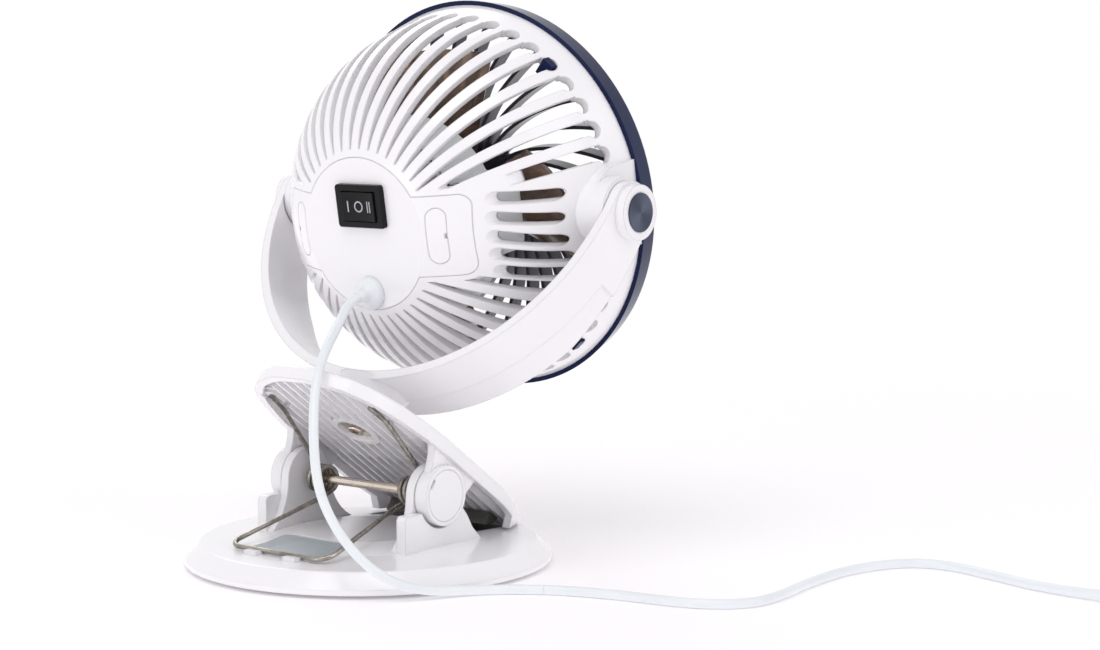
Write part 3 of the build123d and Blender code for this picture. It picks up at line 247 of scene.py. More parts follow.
@dataclass
class Effects:
    """Library of the shared groups, with the numbers that shape their patterns."""

    cloud_band: tuple[float, float] = (0.3, 0.7)
    cloud_height: float = 1.5
    rub_stretches: tuple[tuple[float, float, float], ...] = ((1.0, 9.0, 1.0), (7.0, 1.0, 1.5))
    rub_band: tuple[float, float] = (0.6, 0.72)
    dust_facing: tuple[float, float] = (0.3, 1.0)
    speck_edge: tuple[float, float] = (0.05, 0.16)
    # lobes of painted highlight per turn round a spun cap's axis
    highlight_lobes_per_turn: float = 2.0
    streak_stretch: tuple[float, float, float] = (0.25, 1.0, 1.0)
    streak_band: tuple[float, float] = (0.35, 0.65)
    built: dict[Effect, bpy.types.NodeTree] = field(default_factory=dict)

    def get(self, effect: Effect) -> bpy.types.NodeTree:
        """Give the group of an effect, built the first time it is asked for.

        Args:
            effect: which group.

        Returns:
            The group's tree.
        """
        if effect not in self.built:
            maker = {
                Effect.GRAIN: self.grain,
                Effect.SCUFF: self.scuff,
                Effect.DUST: self.dust,
                Effect.RINGS: self.rings,
                Effect.DRAWN: self.drawn,
            }[effect]
            self.built[effect] = maker()
        return self.built[effect]

    @staticmethod
    def start(effect: Effect, inputs: dict[str, float | None], outputs: tuple[str, ...]) -> tuple:
        """Start a group with its sockets.

        Args:
            effect: the effect that names the group.
            inputs: socket names with their default, None for a vector.
            outputs: names of the value outputs.

        Returns:
            The group, its Tree, its input node and its output node.
        """
        group = bpy.data.node_groups.new(effect.value, "ShaderNodeTree")
        for label, default in inputs.items():
            kind = "NodeSocketVector" if default is None else "NodeSocketFloat"
            socket = group.interface.new_socket(label, in_out="INPUT", socket_type=kind)
            if default is not None:
                socket.default_value = default
        for label in outputs:
            group.interface.new_socket(label, in_out="OUTPUT", socket_type="NodeSocketFloat")
        tree = Tree(group)
        return group, tree, tree.node("NodeGroupInput"), tree.node("NodeGroupOutput")

    def grain(self) -> bpy.types.NodeTree:
        """Build slow cloudiness with a fine grain on it, as moulded plastic has.

        Returns:
            The group's tree.
        """
        sockets = {"Place": None, "Cloud Scale": 40.0, "Grain Scale": 900.0}
        group, tree, into, out = self.start(Effect.GRAIN, sockets, ("Cloud", "Height"))
        cloud = tree.noise(into.outputs["Place"], into.outputs["Cloud Scale"], detail=3.0)
        fine = tree.noise(into.outputs["Place"], into.outputs["Grain Scale"], detail=2.0)
        tree.wire(tree.remap(cloud, *self.cloud_band), out.inputs["Cloud"])
        slow = tree.calc("MULTIPLY", cloud, self.cloud_height)
        tree.wire(tree.calc("ADD", slow, fine), out.inputs["Height"])
        return group

    def scuff(self) -> bpy.types.NodeTree:
        """Build thin faint rubs in two directions.

        Returns:
            The group's tree.
        """
        sockets = {"Place": None, "Scale": 60.0, "Amount": 0.5}
        group, tree, into, out = self.start(Effect.SCUFF, sockets, ("Mask",))
        layers = []
        for stretch in self.rub_stretches:
            place = tree.mapping(into.outputs["Place"], "Scale", stretch)
            rub = tree.noise(place, into.outputs["Scale"], detail=4.0, roughness=0.7)
            layers.append(tree.remap(rub, *self.rub_band))
        both = tree.calc("MAXIMUM", layers[0], layers[1])
        tree.wire(tree.calc("MULTIPLY", both, into.outputs["Amount"], clamp=True), out.inputs["Mask"])
        return group

    def dust(self) -> bpy.types.NodeTree:
        """Build fine specks on faces that look up.

        Returns:
            The group's tree.
        """
        sockets = {"Place": None, "Facing": None, "Scale": 500.0, "Amount": 0.3}
        group, tree, into, out = self.start(Effect.DUST, sockets, ("Mask",))
        split = tree.node("ShaderNodeSeparateXYZ")
        tree.wire(into.outputs["Facing"], split.inputs[0])
        up = tree.remap(split.outputs["Z"], *self.dust_facing)
        speck = tree.node("ShaderNodeTexVoronoi")
        tree.wire(into.outputs["Place"], speck.inputs["Vector"])
        tree.wire(into.outputs["Scale"], speck.inputs["Scale"])
        dot = tree.remap(speck.outputs["Distance"], *self.speck_edge, 1.0, 0.0)
        dot = tree.calc("MULTIPLY", dot, up)
        tree.wire(tree.calc("MULTIPLY", dot, into.outputs["Amount"], clamp=True), out.inputs["Mask"])
        return group

    def rings(self) -> bpy.types.NodeTree:
        """Build fine rings round the X axis of the place given, as a lathe leaves, and a painted highlight:
        lobes round that axis that lighten and darken the colour as a spun face's reflection does.

        Returns:
            The group's tree.
        """
        sockets = {"Place": None, "Pitch": 0.0002}
        group, tree, into, out = self.start(Effect.RINGS, sockets, ("Tone", "Height"))
        split = tree.node("ShaderNodeSeparateXYZ")
        tree.wire(into.outputs["Place"], split.inputs[0])
        y2 = tree.calc("MULTIPLY", split.outputs["Y"], split.outputs["Y"])
        z2 = tree.calc("MULTIPLY", split.outputs["Z"], split.outputs["Z"])
        radius = tree.calc("SQRT", tree.calc("ADD", y2, z2))
        phase = tree.calc("DIVIDE", radius, into.outputs["Pitch"])
        wave = tree.calc("SINE", tree.calc("MULTIPLY", phase, math.tau))
        tree.wire(tree.remap(wave, -1.0, 1.0), out.inputs["Height"])
        # painted highlight: lobes round the axis, fed to Tone, stand in for the spun face's reflection
        angle = tree.calc("ARCTAN2", split.outputs["Y"], split.outputs["Z"])
        highlight_lobes = tree.calc("SINE", tree.calc("MULTIPLY", angle, self.highlight_lobes_per_turn))
        tree.wire(tree.remap(highlight_lobes, -1.0, 1.0), out.inputs["Tone"])
        return group

    def drawn(self) -> bpy.types.NodeTree:
        """Build broken dark and pale streaks, as drawn metal and poured plastic have.

        Returns:
            The group's tree.
        """
        sockets = {"Place": None, "Scale": 300.0}
        group, tree, into, out = self.start(Effect.DRAWN, sockets, ("Tone", "Height"))
        place = tree.mapping(into.outputs["Place"], "Scale", self.streak_stretch)
        line = tree.noise(place, into.outputs["Scale"], detail=5.0, roughness=0.65)
        tree.wire(tree.remap(line, *self.streak_band), out.inputs["Tone"])
        tree.wire(line, out.inputs["Height"])
        return group


@dataclass(frozen=True)
class Finish:
    """What every finish shares: a shell colour with its slow variation, gloss and fine bump."""

    name: str
    colour: tuple[float, float, float]
    shade: tuple[float, float, float]
    roughness: tuple[float, float] = (0.3, 0.4)
    cloud_scale: float = 40.0
    grain_scale: float = 900.0
    bump: float = 0.05
    bump_depth: float = 0.00005
    scuff: float = 0.3
    scuff_roughness: float = 0.25
    dust: float = 0.2
    dust_colour: tuple[float, float, float] = (0.6, 0.58, 0.55)
    metal: float = 0.0
    edge: float = 0.0005
    edge_samples: int = 6
    sockets: tuple[tuple[str, object], ...] = ()

    def build(self, effects: Effects) -> bpy.types.Material:
        """Make the material.

        Args:
            effects: library of the shared groups.

        Returns:
            The finished material.
        """
        material = bpy.data.materials.new(self.name)
        material.use_nodes = True
        tree = Tree(material.node_tree)
        skin = tree.graph.nodes["Principled BSDF"]
        skin.inputs["Metallic"].default_value = self.metal
        for socket, value in self.sockets:
            skin.inputs[socket].default_value = value
        place = tree.node("ShaderNodeTexCoord").outputs["Object"]
        tone, height = self.pattern(tree, effects, place)
        colour = tree.tint(tone, self.colour, self.shade)
        marks = self.group(tree, effects, Effect.SCUFF, place, Amount=self.scuff)
        rough = tree.remap(tone, 0.0, 1.0, *self.roughness)
        duller = tree.calc("MULTIPLY", marks.outputs["Mask"], self.scuff_roughness)
        rough = tree.calc("ADD", rough, duller, clamp=True)
        if self.dust > 0:
            specks = self.group(tree, effects, Effect.DUST, place, Amount=self.dust)
            tree.wire(tree.node("ShaderNodeNewGeometry").outputs["Normal"], specks.inputs["Facing"])
            colour = tree.tint(specks.outputs["Mask"], colour, self.dust_colour)
        tree.wire(colour, skin.inputs["Base Color"])
        tree.wire(rough, skin.inputs["Roughness"])
        relief = tree.node("ShaderNodeBump")
        relief.inputs["Strength"].default_value = self.bump
        relief.inputs["Distance"].default_value = self.bump_depth
        tree.wire(height, relief.inputs["Height"])
        if self.edge > 0:
            rounding = tree.node("ShaderNodeBevel", samples=self.edge_samples)
            rounding.inputs["Radius"].default_value = self.edge
            tree.wire(rounding.outputs[0], relief.inputs["Normal"])
        tree.wire(relief.outputs[0], skin.inputs["Normal"])
        return material

    def pattern(self, tree: Tree, effects: Effects, place: bpy.types.NodeSocket) -> tuple:
        """Lay the finish's own pattern.

        Args:
            tree: tree of the material.
            effects: library of the shared groups.
            place: socket with the object's coordinates.

        Returns:
            The tone socket and the height socket.
        """
        grain = self.group(tree, effects, Effect.GRAIN, place)
        grain.inputs["Cloud Scale"].default_value = self.cloud_scale
        grain.inputs["Grain Scale"].default_value = self.grain_scale
        return grain.outputs["Cloud"], grain.outputs["Height"]

    @staticmethod
    def group(tree: Tree, effects: Effects, effect: Effect, place: bpy.types.NodeSocket,
              **values: float) -> bpy.types.Node:
        """Place a shared group in the material.

        Args:
            tree: tree of the material.
            effects: library of the shared groups.
            effect: which group.
            place: socket with the coordinates it reads.
            **values: numbers for its sockets.

        Returns:
            The group's node.
        """
        node = tree.node("ShaderNodeGroup", node_tree=effects.get(effect))
        tree.wire(place, node.inputs["Place"])
        for label, value in values.items():
            node.inputs[label].default_value = value
        return node


@dataclass(frozen=True)
class Streaked(Finish):
    """Finish with soft streaks, as smoky clear plastic keeps from its moulding."""

    streak_scale: float = 110.0

    def pattern(self, tree: Tree, effects: Effects, place: bpy.types.NodeSocket) -> tuple:
        """Lay streaks instead of grain; see Finish.pattern."""
        streaks = self.group(tree, effects, Effect.DRAWN, place, Scale=self.streak_scale)
        return streaks.outputs["Tone"], streaks.outputs["Height"]


@dataclass(frozen=True)
class DrawnMetal(Streaked):
    """Wire or rolled metal with finer streaks along it."""

    metal: float = 1.0
    streak_scale: float = 300.0
    dust: float = 0.0
    edge: float = 0.0


@dataclass(frozen=True)
class SpunCap(Finish):
    """Metal face turned on a lathe round the fan's tilt axis."""

    metal: float = 1.0
    pitch: float = 0.00028
    dust: float = 0.0
    edge: float = 0.0002

    def pattern(self, tree: Tree, effects: Effects, place: bpy.types.NodeSocket) -> tuple:
        """Lay rings round the tilt axis as a bump, and a painted highlight of lobes round it in the colour;
        see Finish.pattern.
        """
        centred = tree.mapping(place, "Location", -HEAD_PIVOT)
        # painted highlight: the lobes in Tone lighten and darken the cap as its reflection would
        rings = self.group(tree, effects, Effect.RINGS, centred, Pitch=self.pitch)
        return rings.outputs["Tone"], rings.outputs["Height"]


def finishes() -> dict[Slot, Finish]:
    """Choose the finish of every slot.

    Returns:
        The finishes by slot.
    """
    gloss = (("Coat Weight", 0.22), ("Coat Roughness", 0.10), ("IOR", 1.5))
    clear = (("IOR", 1.49), ("Coat Weight", 0.15), ("Coat Roughness", 0.05), ("Transmission Weight", 0.6))
    frost = (("IOR", 1.49), ("Transmission Weight", 0.12))
    soft_gloss = (("Coat Weight", 0.12), ("Coat Roughness", 0.15))
    return {
        Slot.WHITE_SHELL: Finish(
            "white_shell_look", (0.85, 0.84, 0.86), (0.825, 0.815, 0.838), (0.19, 0.26),
            cloud_scale=14.0, scuff=0.05, dust=0.02, edge=0.0008, sockets=gloss),
        Slot.NAVY_GLOSS: Finish(
            "navy_gloss_look", (0.010, 0.016, 0.055), (0.015, 0.023, 0.07), (0.08, 0.14),
            scuff=0.2, dust=0.08, sockets=(("Specular IOR Level", 0.07),)),
        Slot.CHARCOAL: Finish(
            "charcoal_look", (0.036, 0.037, 0.050), (0.050, 0.051, 0.068), (0.24, 0.34),
            dust=0.06, sockets=(("Specular IOR Level", 0.35),)),
        Slot.SMOKE_CLEAR: Streaked(
            "smoke_clear_look", (0.42, 0.28, 0.19), (0.12, 0.078, 0.052), (0.10, 0.16),
            scuff=0.1, dust=0.0, bump=0.01, sockets=clear),
        Slot.FROST_CLEAR: Finish(
            "frost_clear_look", (0.92, 0.945, 0.95), (0.89, 0.92, 0.93), (0.35, 0.45),
            dust=0.0, sockets=frost),
        Slot.BLACK_RUBBER: Finish(
            "black_rubber_look", (0.055, 0.056, 0.050), (0.075, 0.076, 0.068), (0.35, 0.5),
            grain_scale=1600.0, bump=0.25),
        Slot.FOOT_FOAM: Finish(
            "foot_foam_look", (0.04, 0.04, 0.045), (0.07, 0.07, 0.075), (0.8, 0.95),
            grain_scale=700.0, bump=0.5, bump_depth=0.0002),
        Slot.BLACK_GLOSS: Finish(
            "black_gloss_look", (0.006, 0.006, 0.007), (0.010, 0.010, 0.011), (0.28, 0.38),
            dust=0.03, sockets=(("Specular IOR Level", 0.14),)),
        Slot.MARK_PAINT: Finish(
            "mark_paint_look", (0.48, 0.50, 0.53), (0.42, 0.44, 0.47), (0.4, 0.5), dust=0.0),
        Slot.PLAIN_STEEL: DrawnMetal(
            "plain_steel_look", (0.80, 0.725, 0.625), (0.58, 0.515, 0.445), (0.18, 0.30), bump=0.1),
        Slot.SPRING_STEEL: DrawnMetal(
            "spring_steel_look", (0.44, 0.41, 0.365), (0.18, 0.168, 0.15), (0.20, 0.38), bump=0.15),
        Slot.BLUE_CAP: SpunCap(
            "blue_cap_look", (0.10, 0.115, 0.16), (0.05, 0.06, 0.09), (0.22, 0.34), bump=0.25),
        Slot.BRONZE: DrawnMetal("bronze_look", (0.62, 0.45, 0.22), (0.45, 0.30, 0.13), (0.3, 0.45)),
        Slot.FERRITE: Finish(
            "ferrite_look", (0.06, 0.06, 0.065), (0.10, 0.10, 0.105), (0.6, 0.8), bump=0.3),
        Slot.COPPER: DrawnMetal("copper_look", (0.72, 0.32, 0.16), (0.45, 0.18, 0.09), (0.25, 0.4)),
        Slot.FIBRE: Finish("fibre_look", (0.30, 0.27, 0.22), (0.22, 0.19, 0.15), (0.7, 0.85), bump=0.3),
        Slot.CORD_SKIN: Finish(
            "cord_skin_look", (0.78, 0.815, 0.84), (0.74, 0.78, 0.81), (0.28, 0.38),
            grain_scale=1500.0, scuff=0.05, dust=0.02, sockets=soft_gloss),
        Slot.LABEL_FILM: Finish(
            "label_film_look", (0.37, 0.41, 0.43), (0.32, 0.36, 0.38), (0.3, 0.42),
            cloud_scale=90.0, dust=0.05),
        Slot.LEAD_SKIN: Finish("lead_skin_look", (0.45, 0.03, 0.03), (0.30, 0.02, 0.02), (0.35, 0.5)),
        Slot.PLUG_METAL: DrawnMetal("plug_metal_look", (0.62, 0.62, 0.64), (0.48, 0.48, 0.50), (0.2, 0.32)),
        Slot.RESISTOR_BODY: Finish(
            "resistor_body_look", (0.55, 0.45, 0.32), (0.42, 0.33, 0.22), (0.4, 0.6)),
    }


# ---------------------- the wardrobe
class Wardrobe:
    """Builds the finishes and puts them on pieces and on CAD nodes."""

    def __init__(self, nodes: dict[str, bpy.types.Object]) -> None:
        """Build every finish.

        Args:
            nodes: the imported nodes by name.
        """
        self.nodes = nodes
        effects = Effects()
        self.looks = {slot: finish.build(effects) for slot, finish in finishes().items()}

    def dress_nodes(self) -> None:
        """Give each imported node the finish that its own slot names."""
        for name, node in self.nodes.items():
            for holder in node.material_slots:
                holder.material = self.looks[Slot(holder.material.name)]
            log.info("dressed node %s", name)

    def dress(self, piece: bpy.types.Object, slot: Slot) -> None:
        """Give a new piece a finish and its slot's name.

        Args:
            piece: the new piece.
            slot: the record's slot that it takes its finish from.
        """
        piece.data.materials.clear()
        piece.data.materials.append(self.looks[slot])


def as_object(name: str, mesh: bmesh.types.BMesh, smooth: bool = True,
              crease: float = math.pi) -> bpy.types.Object:
    """Make a linked object of a bmesh and free the bmesh.

    Args:
        name: the object's name.
        mesh: the finished bmesh, in world metres.
        smooth: whether its faces are shaded smooth.
        crease: edges that turn by more than this are kept sharp.

    Returns:
        The new object, at the origin.
    """
    for face in mesh.faces:
        face.smooth = smooth
    for edge in mesh.edges:
        edge.smooth = not (edge.is_manifold and edge.calc_face_angle() > crease)
    data = bpy.data.meshes.new(name)
    mesh.to_mesh(data)
    mesh.free()
    if "custom_normal" in data.attributes:
        data.attributes.remove(data.attributes["custom_normal"])
    piece = bpy.data.objects.new(name, data)
    bpy.context.scene.collection.objects.link(piece)
    return piece


def welded_copy(node: bpy.types.Object) -> bmesh.types.BMesh:
    """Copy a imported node's mesh with its loose triangles joined.

    Args:
        node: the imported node, which is left as it is.

    Returns:
        The copy, in world metres.
    """
    mesh = bmesh.new()
    mesh.from_mesh(node.data)
    bmesh.ops.remove_doubles(mesh, verts=mesh.verts, dist=WELD)
    return mesh


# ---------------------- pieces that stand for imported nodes
@dataclass
class Fitting:
    """A piece of the scene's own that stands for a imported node."""

    wardrobe: Wardrobe

    def settle(self, piece: bpy.types.Object, slot: Slot, body: Body, node: str) -> None:
        """Dress the piece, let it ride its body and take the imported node's place.

        Args:
            piece: the finished piece.
            slot: the slot it takes its finish from.
            body: the body it rides.
            node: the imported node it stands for.
        """
        self.wardrobe.dress(piece, slot)
        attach(piece, body.value)
        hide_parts(node)
        log.info("made %s, %d faces, for %s", piece.name, len(piece.data.polygons), node)


@dataclass
class MotorCasing(Fitting):
    """Frosted casing of the motor, with its edges rounded as its mould rounds them."""

    radius: float = 0.0012
    steps: int = 2
    flat: float = math.radians(0.3)
    crease: float = math.radians(30.0)
    shading_weight: int = 50

    def build(self) -> None:
        """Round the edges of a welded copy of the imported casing."""
        mesh = welded_copy(self.wardrobe.nodes["motor_casing"])
        bmesh.ops.dissolve_limit(mesh, angle_limit=self.flat, verts=mesh.verts, edges=mesh.edges)
        edges = [e for e in mesh.edges if e.is_manifold and e.calc_face_angle() > self.crease]
        bmesh.ops.bevel(mesh, geom=edges, offset=self.radius, offset_type="OFFSET", segments=self.steps,
                        profile=0.5, affect="EDGES", clamp_overlap=False, loop_slide=True, material=-1)
        bmesh.ops.triangulate(mesh, faces=mesh.faces)
        piece = as_object("frosted_casing", mesh)
        even = piece.modifiers.new("even_shading", "WEIGHTED_NORMAL")
        even.mode = "FACE_AREA"
        even.weight = self.shading_weight
        self.settle(piece, Slot.FROST_CLEAR, Body.HEAD, "motor_casing")


@dataclass
class DomeShell(Fitting):
    """Slotted rear dome, its ribs brought to the thinner wall that its slots show.

    Sizes are in the head's own frame, whose Y axis is the fan's axis. A pair is a distance from that axis
    and a height along it.
    """

    crease: float = math.radians(28.0)
    centre: tuple[float, float] = (0.0034, -0.0097)
    inner: float = 0.0587
    thinned: float = 0.0609
    reach: float = 0.0002
    lowest: float = -0.0035
    panel_r: float = 0.0272
    wing_x: float = 0.0425
    wing_z: tuple[float, float] = (-0.0148, 0.0143)
    skirt_top: tuple[float, float] = (0.06173, -0.00314)
    skirt_foot: tuple[float, float] = (0.0644, -0.0070)
    skirt_share: tuple[float, float] = (-0.05, 0.95)
    skirt_outer: tuple[float, float] = (0.0665, -0.0026)
    skirt_flare: float = 0.2132
    skirt_wall: float = 0.0026

    def thin_skirt(self, vert: bmesh.types.BMVert) -> bool:
        """Move a point of the skirt's inner face outwards.

        Args:
            vert: the point.

        Returns:
            Whether the point was on that face and moved.
        """
        x, y, z = vert.co
        around = math.hypot(x, z)
        top_r, top_y = self.skirt_top
        foot_r, foot_y = self.skirt_foot
        share = (top_y - y) / (top_y - foot_y)
        face_r = top_r + share * (foot_r - top_r)
        if not self.skirt_share[0] < share < self.skirt_share[1] or abs(around - face_r) >= self.reach:
            return False
        outer_r, outer_y = self.skirt_outer
        scale = (outer_r + (outer_y - y) * self.skirt_flare - self.skirt_wall) / around
        vert.co = (x * scale, y, z * scale)
        return True

    def thin_dome(self, vert: bmesh.types.BMVert) -> bool:
        """Move a point of the dome's inner skin outwards, but not where the panel is seated.

        Args:
            vert: the point.

        Returns:
            Whether the point was on that skin and moved.
        """
        x, y, z = vert.co
        around = math.hypot(x, z)
        centre_r, centre_y = self.centre
        arm = Vector((around - centre_r, y - centre_y))
        seat = around < self.panel_r or (abs(x) < self.wing_x and self.wing_z[0] < z < self.wing_z[1])
        if y < self.lowest or abs(arm.length - self.inner) > self.reach or seat:
            return False
        moved = arm.normalized() * self.thinned
        scale = (centre_r + moved.x) / around
        vert.co = (x * scale, centre_y + moved.y, z * scale)
        return True

    def build(self) -> None:
        """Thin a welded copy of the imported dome."""
        mesh = welded_copy(self.wardrobe.nodes["rear_housing"])
        head = Matrix.Translation(HEAD_PIVOT) @ Matrix.Rotation(HEAD_TILT, 4, "X")
        bmesh.ops.transform(mesh, matrix=head.inverted(), verts=mesh.verts)
        moved = sum(self.thin_skirt(vert) or self.thin_dome(vert) for vert in mesh.verts)
        bmesh.ops.transform(mesh, matrix=head, verts=mesh.verts)
        log.info("moved %d points of the dome's inner skin", moved)
        piece = as_object("slotted_dome", mesh, crease=self.crease)
        self.settle(piece, Slot.WHITE_SHELL, Body.HEAD, "rear_housing")


@dataclass
class BentSpring:
    """Torsion spring, made from a welded copy of the imported one."""

    wardrobe: Wardrobe
    crease: float = math.radians(40.0)
    lean: float = -0.2
    reach: float = 0.005

    def build(self) -> None:
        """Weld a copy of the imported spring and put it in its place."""
        mesh = welded_copy(self.wardrobe.nodes["torsion_spring"])
        piece = as_object("bent_spring", mesh, crease=self.crease)
        self.wardrobe.dress(piece, Slot.SPRING_STEEL)
        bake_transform(piece)
        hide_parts("torsion_spring")
        log.info("made %s, %d faces", piece.name, len(piece.data.polygons))


@dataclass
class CordGland(Fitting):
    """Domed button with a short tapered sleeve where the cord leaves the head."""

    face: Vector = field(default_factory=lambda: Vector((0.0, 1.197, 92.826)) * MM)
    proud: float = 0.0036
    steps: int = 48
    crease: float = math.radians(50.0)
    profile: tuple[tuple[float, float], ...] = (
        (0.0, -3.4), (5.2, -3.4), (5.2, -2.05), (4.0, -2.0), (4.0, 0.0), (5.9, 0.0), (5.95, 0.9),
        (5.8, 1.7), (5.4, 2.4), (4.7, 2.95), (3.8, 3.3), (2.9, 3.5), (2.55, 3.75), (2.4, 4.4),
        (2.25, 5.6), (2.05, 7.2), (1.85, 7.6), (1.3, 7.6), (0.0, 7.2))

    def build(self) -> None:
        """Spin the profile, in millimetres, round the gland's axis."""
        mesh = bmesh.new()
        verts = [bmesh.ops.create_vert(mesh, co=(r * MM, 0.0, s * MM))["vert"][0] for r, s in self.profile]
        edges = [mesh.edges.new(pair) for pair in zip(verts, verts[1:])]
        bmesh.ops.spin(mesh, geom=verts + edges, cent=(0, 0, 0), axis=(0, 0, 1), dvec=(0, 0, 0),
                       angle=math.tau, steps=self.steps, use_merge=True, use_duplicate=False)
        bmesh.ops.remove_doubles(mesh, verts=mesh.verts, dist=WELD)
        bmesh.ops.recalc_face_normals(mesh, faces=mesh.faces)
        out = Vector((0.0, math.cos(HEAD_TILT), math.sin(HEAD_TILT)))
        turn = out.to_track_quat("Z", "Y").to_matrix().to_4x4()
        place = Matrix.Translation(self.face - out * self.proud) @ turn
        bmesh.ops.transform(mesh, matrix=place, verts=mesh.verts)
        piece = as_object("gland_sleeve", mesh, crease=self.crease)
        self.settle(piece, Slot.CORD_SKIN, Body.HEAD, "strain_relief")


@dataclass
class JawGrip(Fitting):
    """Short rubber wedge across the upper jaw, with its edges rounded."""

    half_width: float = 0.0236
    radius: float = 0.0005
    steps: int = 3
    crease: float = math.radians(40.0)
    profile: tuple[tuple[float, float], ...] = ((-38.8, 12.4), (-38.8, 6.9), (-43.0, 9.7), (-44.5, 12.4))

    def build(self) -> None:
        """Extrude the wedge, in millimetres along and square to the lever, across the jaw."""
        mesh = bmesh.new()
        verts = [bmesh.ops.create_vert(mesh, co=(-self.half_width, s * MM, t * MM))["vert"][0]
                 for s, t in self.profile]
        side = bmesh.ops.contextual_create(mesh, geom=verts)["faces"]
        grown = bmesh.ops.extrude_face_region(mesh, geom=side)["geom"]
        moved = [g for g in grown if isinstance(g, bmesh.types.BMVert)]
        bmesh.ops.translate(mesh, vec=(2 * self.half_width, 0, 0), verts=moved)
        bmesh.ops.recalc_face_normals(mesh, faces=mesh.faces)
        bmesh.ops.bevel(mesh, geom=list(mesh.edges), offset=self.radius, offset_type="OFFSET",
                        segments=self.steps, profile=0.5, affect="EDGES", clamp_overlap=True, material=-1)
        place = Matrix.Translation(LEVER_PIVOT) @ Matrix.Rotation(LEVER_SLOPE, 4, "X")
        bmesh.ops.transform(mesh, matrix=place, verts=mesh.verts)
        piece = as_object("jaw_grip", mesh, crease=self.crease)
        self.settle(piece, Slot.BLACK_RUBBER, Body.LEVER, "upper_jaw_pad")


# ---------------------- cord
@dataclass(frozen=True)
class CordRun:
    """One stretch of the cord, with the route's run in whose middle it ends."""

    name: str
    stands_for: tuple[str, ...]
    joins: tuple[Body, Body] | None = None
    cut: int | None = None


